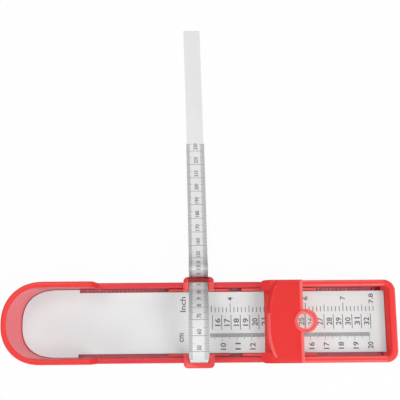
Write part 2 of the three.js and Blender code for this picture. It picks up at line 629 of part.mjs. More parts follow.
// Tape loop at +Y: a hat-shaped band over the rail, opened in the middle for the tape
function tapeLoop() {
  const x0 = CARRIAGE_X - CARRIAGE_RUNNER_LENGTH / 2;
  const blade = runner(x0, x0 + CARRIAGE_RUNNER_LENGTH, [[x0, x0 + CARRIAGE_RUNNER_LENGTH]]);
  const under = RAIL_TOP + LOOP_RAIL_GAP;
  const r = LOOP_EDGE_ROUNDING;
  const profile = [
    [RUNNER_INNER, RUNNER_TOP - 1], [RUNNER_OUTER, RUNNER_TOP - 1], [RUNNER_OUTER, under],
    [LOOP_BAR_OUTER - r, under], [LOOP_BAR_OUTER, under + r],
  ];
  const steps = 4;
  for (let i = 0; i <= steps; i += 1) {
    const angle = (Math.PI / 2) * (i / steps);
    profile.push([LOOP_BAR_OUTER - r * (1 - Math.cos(angle)), LOOP_TOP - r * (1 - Math.sin(angle))]);
  }
  for (let i = steps; i >= 0; i -= 1) {
    const angle = (Math.PI / 2) * (i / steps);
    profile.push([RUNNER_INNER + r * (1 - Math.cos(angle)), LOOP_TOP - r * (1 - Math.sin(angle))]);
  }
  const half = LOOP_LENGTH / 2;
  const band = extrudeAcross(profile, CARRIAGE_X - half, CARRIAGE_X + half);
  const opening = box(CARRIAGE_X - LOOP_OPENING / 2, CARRIAGE_X + LOOP_OPENING / 2, 0, LOOP_BAR_INNER,
    RUNNER_TOP, FAR);
  const underBar = box(CARRIAGE_X - LOOP_OPENING / 2, CARRIAGE_X + LOOP_OPENING / 2, 0, FAR,
    RUNNER_TOP, LOOP_BAR_BOTTOM);
  const corner = LOOP_CORNER_RADIUS;
  const plan = [[CARRIAGE_X - half, 0], [CARRIAGE_X + half, 0]];
  const cornerSteps = 6;
  for (let i = 0; i <= 2 * cornerSteps + 1; i += 1) {
    const side = i <= cornerSteps ? 1 : -1;
    const step = i <= cornerSteps ? i : 2 * cornerSteps + 1 - i;
    const angle = (Math.PI / 2) * (step / cornerSteps);
    plan.push([
      CARRIAGE_X + side * (half - corner * (1 - Math.cos(angle))),
      LOOP_BAR_OUTER - corner * (1 - Math.sin(angle)),
    ]);
  }
  const rounded = cut(band.intersect(extrudePlan(plan, -1, FAR)), opening, underBar);
  return join(blade, rounded);
}

function pinPlaces() {
  return [CARRIAGE_X - PIN_SPACING / 2, CARRIAGE_X + PIN_SPACING / 2];
}

// Quarter bends of the tape, as [y, z] points round a centre
function bend(centreY, centreZ, fromDegrees, toDegrees) {
  const steps = 5;
  const points = [];
  for (let i = 0; i <= steps; i += 1) {
    const angle = THREE.MathUtils.degToRad(fromDegrees + (toDegrees - fromDegrees) * (i / steps));
    points.push([centreY + TAPE_BEND_RADIUS * Math.cos(angle), centreZ + TAPE_BEND_RADIUS * Math.sin(angle)]);
  }
  return points;
}

// A smooth line through [y, z] points, in even steps
function smoothLine(points) {
  const places = points.map(([y, z]) => new THREE.Vector3(0, y, z));
  const curve = new THREE.CatmullRomCurve3(places, false, 'centripetal');
  const steps = Math.ceil(curve.getLength() / TAPE_STEP);
  return curve.getSpacedPoints(steps).map((point) => [point.y, point.z]);
}

// Middle line of the tape from its fixed end under one bar to its free end on the floor
function tapeLine() {
  const gapY = LOOP_BAR_INNER - TAPE_FACE_GAP - TAPE_THICKNESS / 2;
  const underZ = LOOP_BAR_BOTTOM - TAPE_BAR_GAP - TAPE_THICKNESS / 2;
  const turnY = gapY + TAPE_BEND_RADIUS;
  const turnZ = underZ + TAPE_BEND_RADIUS;
  const outY = LOOP_BAR_OUTER;
  const start = [-(LOOP_BAR_OUTER - TAPE_BAR_GAP), underZ];
  const up = bend(-turnY, turnZ, 270, 360);
  const away = bend(outY, turnZ, 270, 360);
  const over = TAPE_ARCH.map(([share, height]) => [share * gapY, RAIL_TOP + height]);
  const beyond = TAPE_TAIL.map(([past, height]) => [outY + past, TAPE_THICKNESS / 2 + height]);
  const arch = smoothLine([up[up.length - 1], ...over, [LOOP_BAR_INNER, underZ]]);
  const tail = smoothLine([away[away.length - 1], ...beyond]);
  const last = tail[tail.length - 1];
  const left = outY + TAPE_TAIL_LENGTH - last[0];
  const flat = Math.ceil(left / (4 * TAPE_STEP));
  const lying = [];
  for (let i = 1; i <= flat; i += 1) {
    lying.push([last[0] + left * (i / flat), last[1]]);
  }
  return [start, ...up.slice(0, -1), ...arch, ...away.slice(0, -1), ...tail, ...lying];
}

function girthTape() {
  const line = tapeLine();
  const lean = Math.tan(THREE.MathUtils.degToRad(TAPE_TAIL_LEAN_DEGREES));
  const rings = line.map(([y, z], i) => {
    const before = line[Math.max(0, i - 1)];
    const after = line[Math.min(line.length - 1, i + 1)];
    const run = [after[0] - before[0], after[1] - before[1]];
    const length = Math.hypot(...run);
    const up = [-run[1] / length * (TAPE_THICKNESS / 2), run[0] / length * (TAPE_THICKNESS / 2)];
    const past = Math.max(0, y - LOOP_BAR_OUTER);
    const x = CARRIAGE_X - past * (lean + TAPE_TAIL_BOW * past);
    const half = TAPE_WIDTH / 2 - (past > TAPE_SCALE_END ? TAPE_TONGUE_STEP : 0);
    return [
      [x - half, y + up[0], z + up[1]], [x + half, y + up[0], z + up[1]],
      [x + half, y - up[0], z - up[1]], [x - half, y - up[0], z - up[1]],
    ];
  });
  const strip = solidOf(skin(rings, false));
  const holes = pinPlaces().map((x) => cylinder(x, -pinY(), PIN_SHANK_RADIUS + FIT_GAP,
    0, LOOP_BAR_BOTTOM, 20));
  return cut(strip, ...holes);
}

function pinY() {
  return LOOP_BAR_INNER + LOOP_BAR_WIDTH / 2;
}

function fixedTapeLoop() {
  const top = LOOP_BAR_BOTTOM + PIN_REACH + FIT_GAP;
  const holes = pinPlaces().map((x) => cylinder(x, -pinY(), PIN_SHANK_RADIUS + FIT_GAP, 0, top, 20));
  return cut(otherSide(tapeLoop()), ...holes);
}

function tapePin() {
  const length = TAPE_BAR_GAP + TAPE_THICKNESS + PIN_REACH;
  return screw(PIN_SHANK_RADIUS, length, PIN_HEAD_RADIUS, PIN_HEAD_HEIGHT);
}

// Colours and finishes
const RED_PLASTIC = { color: 0xe34a46, roughness: 0.42, metalness: 0 };
const WHITE_PLASTIC = { color: 0xe4e4e2, roughness: 0.45, metalness: 0 };
const CLEAR_PLASTIC = { color: 0xf4f6f6, roughness: 0.08, metalness: 0, transparent: true, opacity: 0.3 };
const TAPE_VINYL = { color: 0xe6e6e4, roughness: 0.4, metalness: 0 };
const ZINC_STEEL = { color: 0xb9bcc0, roughness: 0.35, metalness: 0.9 };

function piece(name, solid, finish, place = [0, 0, 0]) {
  const mesh = new THREE.Mesh(geometryOf(solid), new THREE.MeshStandardMaterial(finish));
  mesh.name = name;
  mesh.position.set(...place);
  return mesh;
}

const group = new THREE.Group();
group.name = 'foot_measuring_device';
group.add(piece('base_frame', baseFrame(), RED_PLASTIC));
group.add(piece('scale_plate', scalePlate(), WHITE_PLASTIC));
screwStations().forEach((x, i) => {
  group.add(piece(`plate_screw_${i + 1}`, plateScrew(), ZINC_STEEL, [x, 0, SCREW_SEAT_HEIGHT]));
});

const stop = new THREE.Group();
stop.add(piece('toe_stop', toeStop(), RED_PLASTIC));
stop.add(piece('sight_window', sightWindow(), CLEAR_PLASTIC));
group.add(stop);

const carriage = new THREE.Group();
carriage.add(piece('tape_loop_left', tapeLoop(), RED_PLASTIC));
carriage.add(piece('tape_loop_right', fixedTapeLoop(), RED_PLASTIC));
carriage.add(piece('girth_tape', girthTape(), TAPE_VINYL));
pinPlaces().forEach((x, i) => {
  const seat = LOOP_BAR_BOTTOM - TAPE_BAR_GAP - TAPE_THICKNESS;
  carriage.add(piece(`tape_pin_${i + 1}`, tapePin(), ZINC_STEEL, [x, -pinY(), seat]));
});
group.add(carriage);

export default group;
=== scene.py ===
"""Looks of the foot measuring device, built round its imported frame.

The frame gives every piece its size and place. This script rounds the moulded pieces' edges,
lays the girth tape along its own line, prints the scales and dresses every surface.
"""

import logging
import math
from bisect import bisect_left
from collections.abc import Callable, Iterator
from contextlib import contextmanager
from dataclasses import dataclass, field
from enum import Enum

import bmesh
import bpy
from mathutils import Matrix, Vector


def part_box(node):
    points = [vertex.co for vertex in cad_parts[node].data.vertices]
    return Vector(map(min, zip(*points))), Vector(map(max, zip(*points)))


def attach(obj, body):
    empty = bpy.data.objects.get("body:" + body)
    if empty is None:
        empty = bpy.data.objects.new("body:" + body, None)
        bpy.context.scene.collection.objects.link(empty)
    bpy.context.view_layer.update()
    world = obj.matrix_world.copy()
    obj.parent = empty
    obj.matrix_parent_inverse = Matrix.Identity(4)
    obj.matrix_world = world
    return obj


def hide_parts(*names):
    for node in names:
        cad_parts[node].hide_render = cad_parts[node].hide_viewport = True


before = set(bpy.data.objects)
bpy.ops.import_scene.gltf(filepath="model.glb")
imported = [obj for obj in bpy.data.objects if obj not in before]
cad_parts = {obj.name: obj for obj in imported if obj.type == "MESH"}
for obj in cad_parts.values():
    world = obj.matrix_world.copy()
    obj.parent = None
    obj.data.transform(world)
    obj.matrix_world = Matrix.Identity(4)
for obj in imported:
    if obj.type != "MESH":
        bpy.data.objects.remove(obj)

Piece = bpy.types.Object
Face = bpy.types.MeshPolygon
Material = bpy.types.Material
Socket = bpy.types.NodeSocket
Colour = tuple[int, int, int]
Feed = Socket | float | tuple[float, ...]

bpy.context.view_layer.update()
LOG = logging.getLogger("foot_measuring_device")
MM = 0.001
ALONG_X, ALONG_Y = Vector((1, 0, 0)), Vector((0, 1, 0))
MERGED_WITHIN = 0.002 * MM
WEIGHTS = "bevel_weight_edge"


class Body(Enum):
    """Bodies of the frame that pieces ride on."""

    FRAME = "frame"
    STOP = "stop_slider"
    RIGHT = "right_slider"
    LEFT = "left_slider"


class Slot(Enum):
    """Material slots of the record."""

    RED = "red_plastic"
    WHITE = "white_plastic"
    CLEAR = "clear_plastic"
    VINYL = "tape_vinyl"
    STEEL = "zinc_steel"


def linear(colour: Colour) -> tuple[float, float, float, float]:
    """Turns a colour as a screen shows it into the shaders' own scale.

    Args:
        colour: Red, green and blue from 0 to 255.

    Returns:
        The linear colour with an alpha of 1.
    """
    shares = [value / 255 for value in colour]
    red, green, blue = (share / 12.92 if share <= 0.04045 else ((share + 0.055) / 1.055) ** 2.4
                        for share in shares)
    return red, green, blue, 1.0


# Shader nodes


class Graph:
    """A node tree under construction."""

    def __init__(self, tree: bpy.types.NodeTree) -> None:
        """Takes the tree to build in.

        Args:
            tree: The tree, empty or started.
        """
        self.tree = tree

    def add(self, kind: str, feeds: dict[str | int, Feed] | None = None,
            **settings: object) -> bpy.types.Node:
        """Adds a node.

        Args:
            kind: Its type, without the leading ShaderNode.
            feeds: Values or sockets for its inputs, by name or number.
            **settings: Its properties.

        Returns:
            The new node.
        """
        node = self.tree.nodes.new("ShaderNode" + kind)
        for key, value in settings.items():
            setattr(node, key, value)
        self.feed(node, feeds or {})
        return node

    def feed(self, node: bpy.types.Node, feeds: dict[str | int, Feed]) -> None:
        """Links sockets to a node's inputs, or sets the inputs to values.

        Args:
            node: The node.
            feeds: The sockets and values, by the input's name or number.
        """
        for key, value in feeds.items():
            if isinstance(value, Socket):
                self.tree.links.new(value, node.inputs[key])
            else:
                node.inputs[key].default_value = value

    def calc(self, operation: str, first: Feed, second: Feed, clamp: bool = False) -> Socket:
        """Works out a number from two others, held between 0 and 1 if clamped."""
        feeds = {0: first, 1: second}
        return self.add("Math", feeds, operation=operation, use_clamp=clamp).outputs["Value"]

    def noise(self, place: Feed, scale: Feed, detail: float = 2.0,
              roughness: float = 0.5) -> Socket:
        """Noise from 0 to 1 over the surface."""
        feeds = {"Vector": place, "Scale": scale, "Detail": detail, "Roughness": roughness}
        return self.add("TexNoise", feeds).outputs["Fac"]

    def mixed(self, first: Feed, second: Feed, share: Feed) -> Socket:
        """Mixes two colours, with this share of the second."""
        return self.add("Mix", {0: share, 6: first, 7: second}, data_type="RGBA").outputs[2]

    def blended(self, first: Feed, second: Feed, share: Feed) -> Socket:
        """Mixes two shaders, with this share of the second."""
        return self.add("MixShader", {0: share, 1: first, 2: second}).outputs["Shader"]

    def ranged(self, value: Feed, low: float, high: float) -> Socket:
        """Spreads a mask from 0.3 to 0.7 over the numbers from low to high."""
        feeds = {"Value": value, "From Min": 0.3, "From Max": 0.7, "To Min": low, "To Max": high}
        return self.add("MapRange", feeds).outputs["Result"]

    def eased(self, value: Feed, low: float, high: float, most: float = 1.0) -> Socket:
        """Turns a value between low and high into a smooth share from 0 to most."""
        feeds = {"Value": value, "From Min": low, "From Max": high, "To Max": most}
        return self.add("MapRange", feeds, interpolation_type="SMOOTHSTEP").outputs["Result"]

    def normal(self, axis: str) -> Socket:
        """The surface's direction along one axis of the frame."""
        normal = self.add("NewGeometry").outputs["Normal"]
        return self.add("SeparateXYZ", {"Vector": normal}).outputs[axis]

    def ray(self, kind: str) -> Socket:
        """1 for light rays of a kind, such as Shadow, and 0 for others."""
        return self.add("LightPath").outputs[f"Is {kind} Ray"]


class NodeGroup(Graph):
    """A shader node group under construction, with named sockets."""

    def __init__(self, name: str, sizes: dict[str, float], *masks: str) -> None:
        """Starts a group that takes coordinates and numbers.

        Args:
            name: The group's name.
            sizes: The numbers that it takes, with their usual values.
            *masks: The masks that it gives.
        """
        super().__init__(bpy.data.node_groups.new(name, "ShaderNodeTree"))
        self.start = self.tree.nodes.new("NodeGroupInput")
        self.end = self.tree.nodes.new("NodeGroupOutput")
        new_socket = self.tree.interface.new_socket
        new_socket("Coordinates", in_out="INPUT", socket_type="NodeSocketVector")
        for title, usual in sizes.items():
            new_socket(title, in_out="INPUT", socket_type="NodeSocketFloat").default_value = usual
        for title in masks:
            new_socket(title, in_out="OUTPUT", socket_type="NodeSocketFloat")


def moulded_grain() -> bpy.types.NodeTree:
    """Fine spark grain and slow clouds of shade on a moulded face.

    Returns:
        A group that gives Height and Cloud over the surface.
    """
    sizes = {"Grain Density": 2500.0, "Cloud Density": 30.0}
    group = NodeGroup("moulded_grain", sizes, "Height", "Cloud")
    place, fine, wide = group.start.outputs[:3]
    group.feed(group.end, {"Height": group.noise(place, fine, detail=3.0, roughness=0.6),
                           "Cloud": group.noise(place, wide)})
    return group.tree


def rubbed_edges() -> bpy.types.NodeTree:
    """Mask of the edges, broken up by noise: partly wear where hands have rubbed, partly a painted
    highlight along them.

    Returns:
        A group that gives Rubbed, from 0 on flat faces to 1 on edges.
    """
    group = NodeGroup("rubbed_edges", {"Reach": 0.6 * MM, "Strength": 4.0}, "Rubbed")
    taken = group.start.outputs
    rounded = group.add("Bevel", {"Radius": taken["Reach"]}, samples=4).outputs["Normal"]
    flat = group.add("NewGeometry").outputs["Normal"]
    agree = group.add("VectorMath", {0: rounded, 1: flat}, operation="DOT_PRODUCT").outputs["Value"]
    away = group.calc("SUBTRACT", 1.0, agree, clamp=True)
    stronger = group.calc("MULTIPLY", away, taken["Strength"], clamp=True)
    patches = group.noise(taken["Coordinates"], scale=180.0)
    group.feed(group.end, {"Rubbed": group.calc("MULTIPLY", stronger, patches, clamp=True)})
    return group.tree


def settled_dust() -> bpy.types.NodeTree:
    """Mask of the faint dust that lies on faces that look up.

    Returns:
        A group that gives Dust over the surface.
    """
    group = NodeGroup("settled_dust", {"Amount": 0.1}, "Dust")
    taken = group.start.outputs
    lying = group.calc("MAXIMUM", group.normal("Z"), 0.0)
    specks = group.noise(taken["Coordinates"], scale=700.0, detail=4.0)
    dusty = group.calc("MULTIPLY", lying, specks)
    group.feed(group.end, {"Dust": group.calc("MULTIPLY", dusty, taken["Amount"], clamp=True)})
    return group.tree


GRAIN = moulded_grain()
RUBBED_AND_HIGHLIT = rubbed_edges()
DUST = settled_dust()


class Shader(Graph):
    """A material under construction, with its Principled shader."""

    def __init__(self, name: str) -> None:
        """Starts a material.

        Args:
            name: The material's name.
        """
        self.material = bpy.data.materials.new(name)
        self.material.use_nodes = True
        super().__init__(self.material.node_tree)
        self.main = self.tree.nodes["Principled BSDF"]
        self.plain = self.main.outputs["BSDF"]
        self.place = self.add("TexCoord").outputs["Object"]

    def group(self, tree: bpy.types.NodeTree, **values: float) -> bpy.types.bpy_prop_collection:
        """Places a node group, fed with the piece's own coordinates.

        Args:
            tree: The group to place.
            **values: Socket values, with _ for a space in the socket's name.

        Returns:
            The placed group's outputs.
        """
        sockets = {key.replace("_", " "): value for key, value in values.items()}
        return self.add("Group", {"Coordinates": self.place, **sockets}, node_tree=tree).outputs

    def bump(self, height: Feed, depth: float, strength: float) -> None:
        """Raises the surface by a height mask.

        Args:
            height: The mask.
            depth: Its depth in metres.
            strength: How strongly it shows, from 0 to 1.
        """
        raised = self.add("Bump", {"Height": height, "Distance": depth, "Strength": strength})
        self.feed(self.main, {"Normal": raised.outputs["Normal"]})

    def show(self, surface: Feed) -> None:
        """Makes a shader the material's surface."""
        self.feed(self.tree.nodes["Material Output"], {"Surface": surface})


# Finishes


@dataclass(frozen=True)
class MouldedPlastic:
    """A moulded plastic: its colour drifts a little and its edges are paler, partly rubbed wear and
    partly a painted highlight.

    With a highlight colour, a face that turns away is painted paler where it looks towards +X,
    where the lamps are: a painted highlight. It is painted darker where it is seen edge-on: painted
    shade. With a bounce, the light that it sends on has that colour. It can let a share of the
    lamps' light through its thin walls, tinted by its glow.
    """

    name: str
    colour: Colour
    deep: Colour
    # Colour of the edges: partly rubbed wear, partly a painted highlight.
    rubbed: Colour
    roughness: float = 0.3
    roughness_drift: float = 0.06
    grain_density: float = 2600.0
    cloud_density: float = 22.0
    grain_depth: float = 0.02 * MM
    grain_strength: float = 0.12
    dust: float = 0.02
    rub_reach: float = 0.7 * MM
    rub_strength: float = 3.0
    dust_colour: Colour = (225, 222, 218)
    # Painted highlight colour for faces that turn away towards +X, and painted shade colour where a
    # face is seen edge-on.
    sheen: Colour | None = None
    sheen_range: tuple[float, float] = (0.1, 0.62)
    sheen_most: float = 0.75
    sheen_side: tuple[float, float] = (-0.05, 0.35)
    outline: Colour = (158, 28, 44)
    outline_range: tuple[float, float] = (0.8, 1.0)
    outline_most: float = 0.85
    bounce: Colour | None = (228, 217, 217)
    transmission: float = 0.0
    specular: float = 0.5
    lets_through: float = 0.0
    glow: Colour = (255, 226, 222)

    def material(self) -> Material:
        """Builds the material.

        Returns:
            The finished material.
        """
        shader = Shader(self.name)
        densities = {"Grain_Density": self.grain_density, "Cloud_Density": self.cloud_density}
        grain = shader.group(GRAIN, **densities)
        # Paler edges: partly rubbed wear, partly a painted highlight.
        rubbed = shader.group(RUBBED_AND_HIGHLIT, Reach=self.rub_reach, Strength=self.rub_strength)["Rubbed"]
        drift = shader.ranged(grain["Cloud"], 0.0, 1.0)
        base = shader.mixed(linear(self.deep), linear(self.colour), drift)
        edged = shader.mixed(base, linear(self.rubbed), rubbed)
        dust = shader.group(DUST, Amount=self.dust)["Dust"]
        dusty = shader.mixed(edged, linear(self.dust_colour), dust)
        low, high = self.roughness - self.roughness_drift, self.roughness + self.roughness_drift
        shader.feed(shader.main, {
            "Base Color": self._turned(shader, dusty),
            "Roughness": shader.ranged(grain["Cloud"], low, high),
            "Transmission Weight": self.transmission,
            "Specular IOR Level": self.specular,
        })
        shader.bump(grain["Height"], self.grain_depth, self.grain_strength)
        if self.lets_through:
            thin = shader.add("BsdfTransparent", {"Color": linear(self.glow)}).outputs["BSDF"]
            share = shader.calc("MULTIPLY", shader.ray("Shadow"), self.lets_through)
            shader.show(shader.blended(shader.plain, thin, share))
        return shader.material

    def _turned(self, shader: Shader, base: Feed) -> Feed:
        """Adds the painted highlight, the painted shade and the bounce to a colour.

        Args:
            shader: The material.
            base: The colour so far.

        Returns:
            The colour to use.
        """
        # Painted highlight on turned faces that look towards +X, where the lamps are; painted shade
        # where a face is seen edge-on.
        if self.sheen is not None:
            facing = shader.add("LayerWeight").outputs["Facing"]
            turned = shader.eased(facing, *self.sheen_range, self.sheen_most)
            beside = shader.eased(shader.normal("X"), *self.sheen_side)
            base = shader.mixed(base, linear(self.sheen), shader.calc("MULTIPLY", turned, beside))
            painted_outline_share = shader.eased(facing, *self.outline_range, self.outline_most)
            base = shader.mixed(base, linear(self.outline), painted_outline_share)
        if self.bounce is not None:
            base = shader.mixed(base, linear(self.bounce), shader.ray("Diffuse"))
        return base


@dataclass(frozen=True)
class ClearPlastic:
    """A clear lens that lets the light through to what it covers."""

    name: str
    tint: Colour = (250, 250, 252)
    cloud: Colour = (236, 240, 242)
    haze_tint: Colour = (252, 226, 224)
    haze: float = 0.06
    roughness: float = 0.03
    refraction: float = 1.49

    def material(self) -> Material:
        """Builds the material.

        Returns:
            The finished material.
        """
        shader = Shader(self.name)
        grain = shader.group(GRAIN, Grain_Density=900.0, Cloud_Density=90.0)
        shader.feed(shader.main, {
            "Base Color": shader.mixed(linear(self.tint), linear(self.cloud), grain["Cloud"]),
            "Roughness": shader.ranged(grain["Cloud"], self.roughness, self.roughness * 2),
            "Transmission Weight": 1.0,
            "IOR": self.refraction,
        })
        veil = shader.add("BsdfDiffuse", {"Color": linear(self.haze_tint)}).outputs["BSDF"]
        clear = shader.add("BsdfTransparent").outputs["BSDF"]
        hazy = shader.blended(shader.plain, veil, self.haze)
        shader.show(shader.blended(hazy, clear, shader.ray("Shadow")))
        return shader.material


@dataclass(frozen=True)
class TapeVinyl:
    """Soft white vinyl with a grey tone printed along both edges of its scale."""

    name: str
    colour: Colour
    cloud: Colour
    edge: Colour
    left_share: float = 0.19
    right_share: float = 0.24
    roughness: tuple[float, float] = (0.45, 0.57)
    specular: float = 0.25

    def material(self, printed_from: float, printed_to: float) -> Material:
        """Builds the material; the edge tone follows the strip's own map.

        Args:
            printed_from: Share of the tape's length at which its scale starts.
            printed_to: Share of the tape's length at which its scale ends.

        Returns:
            The finished material.
        """
        shader = Shader(self.name)
        grain = shader.group(GRAIN, Grain_Density=1500.0, Cloud_Density=60.0)
        strip = shader.add("UVMap", uv_map=GirthTape.STRIP_MAP).outputs["UV"]
        across, along, _ = shader.add("SeparateXYZ", {"Vector": strip}).outputs
        at_edge = shader.calc("MAXIMUM", shader.calc("LESS_THAN", across, self.left_share),
                              shader.calc("GREATER_THAN", across, 1 - self.right_share))
        in_scale = shader.calc("MULTIPLY", shader.calc("GREATER_THAN", along, printed_from),
                               shader.calc("LESS_THAN", along, printed_to))
        toned = shader.calc("MULTIPLY", at_edge, in_scale)
        white = shader.mixed(linear(self.colour), linear(self.cloud), grain["Cloud"])
        shader.feed(shader.main, {
            "Base Color": shader.mixed(white, linear(self.edge), toned),
            "Roughness": shader.ranged(grain["Cloud"], *self.roughness),
            "Specular IOR Level": self.specular,
        })
        shader.bump(grain["Height"], 0.01 * MM, 0.1)
        return shader.material


@dataclass(frozen=True)
class PrintInk:
    """Screen-printing ink, a little uneven in its cover."""

    name: str
    colour: Colour
    thin: Colour
    roughness: tuple[float, float] = (0.45, 0.55)

    def material(self) -> Material:
        """Builds the material.

        Returns:
            The finished material.
        """
        shader = Shader(self.name)
        cloud = shader.group(GRAIN, Grain_Density=2200.0, Cloud_Density=400.0)["Cloud"]
        cover = shader.ranged(cloud, 0.0, 1.0)
        shader.feed(shader.main, {
            "Base Color": shader.mixed(linear(self.colour), linear(self.thin), cover),
            "Roughness": shader.ranged(cloud, *self.roughness),
        })
        return shader.material


@dataclass(frozen=True)
class ZincSteel:
    """Bright zinc-plated steel, dull in patches."""

    name: str
    colour: Colour = (188, 190, 196)
    dull: Colour = (150, 152, 156)
    roughness: tuple[float, float] = (0.22, 0.42)

    def material(self) -> Material:
        """Builds the material.

        Returns:
            The finished material.
        """
        shader = Shader(self.name)
        grain = shader.group(GRAIN, Grain_Density=1800.0, Cloud_Density=300.0)
        worn = shader.ranged(grain["Cloud"], 0.0, 1.0)
        shader.feed(shader.main, {
            "Base Color": shader.mixed(linear(self.colour), linear(self.dull), worn),
            "Roughness": shader.ranged(grain["Cloud"], *self.roughness),
            "Metallic": 1.0,
        })
        shader.bump(grain["Height"], 0.01 * MM, 0.2)
        return shader.material


# Modelling


def only(*objects: Piece) -> None:
    """Selects these objects and nothing else, the first one active."""
    for other in bpy.context.selected_objects:
        other.select_set(False)
    for chosen in objects:
        chosen.select_set(True)
    if objects:
        bpy.context.view_layer.objects.active = objects[0]


def placed(name: str, data: bpy.types.ID) -> Piece:
    """Puts new data into the scene.

    Args:
        name: The new object's name.
        data: Its mesh, camera or lamp.

    Returns:
        The new object.
    """
    made = bpy.data.objects.new(name, data)
    bpy.context.scene.collection.objects.link(made)
    return made


@contextmanager
def editing(piece: Piece) -> Iterator[None]:
    """Opens a piece in edit mode, all of it selected, and closes it again.

    Args:
        piece: The mesh object.
    """
    only(piece)
    bpy.ops.object.mode_set(mode="EDIT")
    bpy.ops.mesh.select_all(action="SELECT")
    yield
    bpy.ops.object.mode_set(mode="OBJECT")


@contextmanager
def opened(piece: Piece) -> Iterator[bmesh.types.BMesh]:
    """Takes a piece's mesh apart for changes and puts it back.

    Args:
        piece: The mesh object.
    """
    mesh = bmesh.new()
    mesh.from_mesh(piece.data)
    yield mesh
    mesh.to_mesh(piece.data)
    mesh.free()


def modify(piece: Piece, kind: str, **settings: object) -> None:
    """Adds a modifier to a piece and applies it.

    Args:
        piece: The mesh object.
        kind: The modifier's type.
        **settings: Its properties.
    """
    modifier = piece.modifiers.new(kind.lower(), kind)
    for key, value in settings.items():
        setattr(modifier, key, value)
    only(piece)
    bpy.ops.object.modifier_apply(modifier=modifier.name)


def settle(piece: Piece, name: str) -> Piece:
    """Names a new piece and puts its place, turn and size into its mesh.

    Args:
        piece: The new mesh object.
        name: Its name.

    Returns:
        The same object, at the origin.
    """
    piece.name = piece.data.name = name
    only(piece)
    bpy.ops.object.transform_apply(location=True, rotation=True, scale=True)
    return piece


def joined(pieces: list[Piece], name: str) -> Piece:
    """Joins meshes into one piece.

    Args:
        pieces: The mesh objects.
        name: The name of the whole.

    Returns:
        The whole.
    """
    only(*pieces)
    bpy.ops.object.join()
    whole = bpy.context.object
    whole.name = whole.data.name = name
    return whole


def fill_underside(piece: Piece) -> None:
    """Fills the flat ring that a piece stands on with plain triangles.

    The ring goes round many pockets, and the rounding leaves polygons there that cross themselves.

    Args:
        piece: The mesh object, standing on the floor.
    """
    downward, level = -0.99, 0.01 * MM
    with opened(piece) as mesh:
        flat = [face for face in mesh.faces
                if face.normal.z < downward and abs(face.calc_center_median().z) < level]
        inside = set(flat)
        rim = [edge for face in flat for edge in face.edges
               if not inside.issuperset(edge.link_faces)]
        bmesh.ops.delete(mesh, geom=flat, context="FACES")
        bmesh.ops.triangle_fill(mesh, use_beauty=True, edges=rim, normal=(0, 0, -1))


def soften(piece: Piece, width: float, segments: int = 2, sharp: float = 40.0,
           smooth: float = 34.0, underside: bool = False) -> None:
    """Rounds a piece's sharp edges and smooths its shading.

    Args:
        piece: The mesh object.
        width: How far the rounding reaches, in metres.
        segments: Steps of the rounding.
        sharp: Edges that turn by more degrees than this are rounded.
        smooth: Edges that turn by fewer degrees than this are shaded smooth.
        underside: Whether the flat underside is filled anew.
    """
    modify(piece, "BEVEL", width=width, segments=segments, limit_method="ANGLE",
           angle_limit=math.radians(sharp))
    if underside:
        fill_underside(piece)
    bpy.ops.object.shade_smooth_by_angle(angle=math.radians(smooth))
    modify(piece, "WEIGHTED_NORMAL", keep_sharp=True)


def round_chosen(piece: Piece, width: float, chosen: Callable[[bmesh.types.BMEdge], bool],
                 clamp: bool, segments: int = 4, sharp: float = 50.0) -> None:
    """Rounds some of a piece's sharp edges.

    Args:
        piece: The mesh object.
        width: How far the rounding reaches, in metres.
        chosen: Tells whether an edge is rounded.
        clamp: Whether the rounding stops where it meets another edge.
        segments: Steps of the rounding.
        sharp: Only edges that turn by more degrees than this are rounded.
    """
    with opened(piece) as mesh:
        layers = mesh.edges.layers.float
        weights = layers.get(WEIGHTS) or layers.new(WEIGHTS)
        for edge in mesh.edges:
            edge[weights] = float(edge.calc_face_angle(0.0) > math.radians(sharp) and chosen(edge))
    modify(piece, "BEVEL", width=width, segments=segments, limit_method="WEIGHT",
           use_clamp_overlap=clamp)


def copy_of(node: str, name: str, flat: float = 0.4) -> Piece:
    """Copies a node's mesh into a piece of its own, with its triangles merged to whole faces.

    Args:
        node: The node to copy.
        name: The new piece's name.
        flat: Triangles that turn by fewer degrees than this are one face.

    Returns:
        The new mesh object.
    """
    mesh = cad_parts[node].data.copy()
    mesh.name = name
    piece = placed(name, mesh)
    with editing(piece):
        bpy.ops.mesh.remove_doubles(threshold=MERGED_WITHIN)
        bpy.ops.mesh.dissolve_limited(angle_limit=math.radians(flat))
    return piece


def dress(piece: Piece, material: Material) -> None:
    """Gives a piece one material all over."""
    piece.data.materials.clear()
    piece.data.materials.append(material)


def skin(node: str, name: str, material: Material, width: float, **rounding: float) -> Piece:
    """Copies a node's mesh, rounds its edges and gives it a material.

    Args:
        node: The node to copy.
        name: The new piece's name.
        material: Its material.
        width: How far the rounding reaches, in metres.
        **rounding: More on the rounding, as soften takes it.

    Returns:
        The new mesh object.
    """
    piece = copy_of(node, name)
    soften(piece, width, **rounding)
    dress(piece, material)
    return piece


def cut_through(piece: Piece, *planes: tuple[Vector, Vector]) -> None:
    """Cuts a piece's faces along planes, so that each side can bend or be finished by itself.

    Args:
        piece: The mesh object.
        *planes: A point and a direction for each plane.
    """
    with editing(piece):
        for place, direction in planes:
            bpy.ops.mesh.select_all(action="SELECT")
            bpy.ops.mesh.bisect(plane_co=place, plane_no=direction)


def paint(piece: Piece, material: Material, chosen: Callable[[Face], bool]) -> None:
    """Gives the chosen faces of a piece another material.

    Args:
        piece: The mesh object.
        material: The other material.
        chosen: Tells whether a face gets it.
    """
    piece.data.materials.append(material)
    for face in piece.data.polygons:
        if chosen(face):
            face.material_index = len(piece.data.materials) - 1


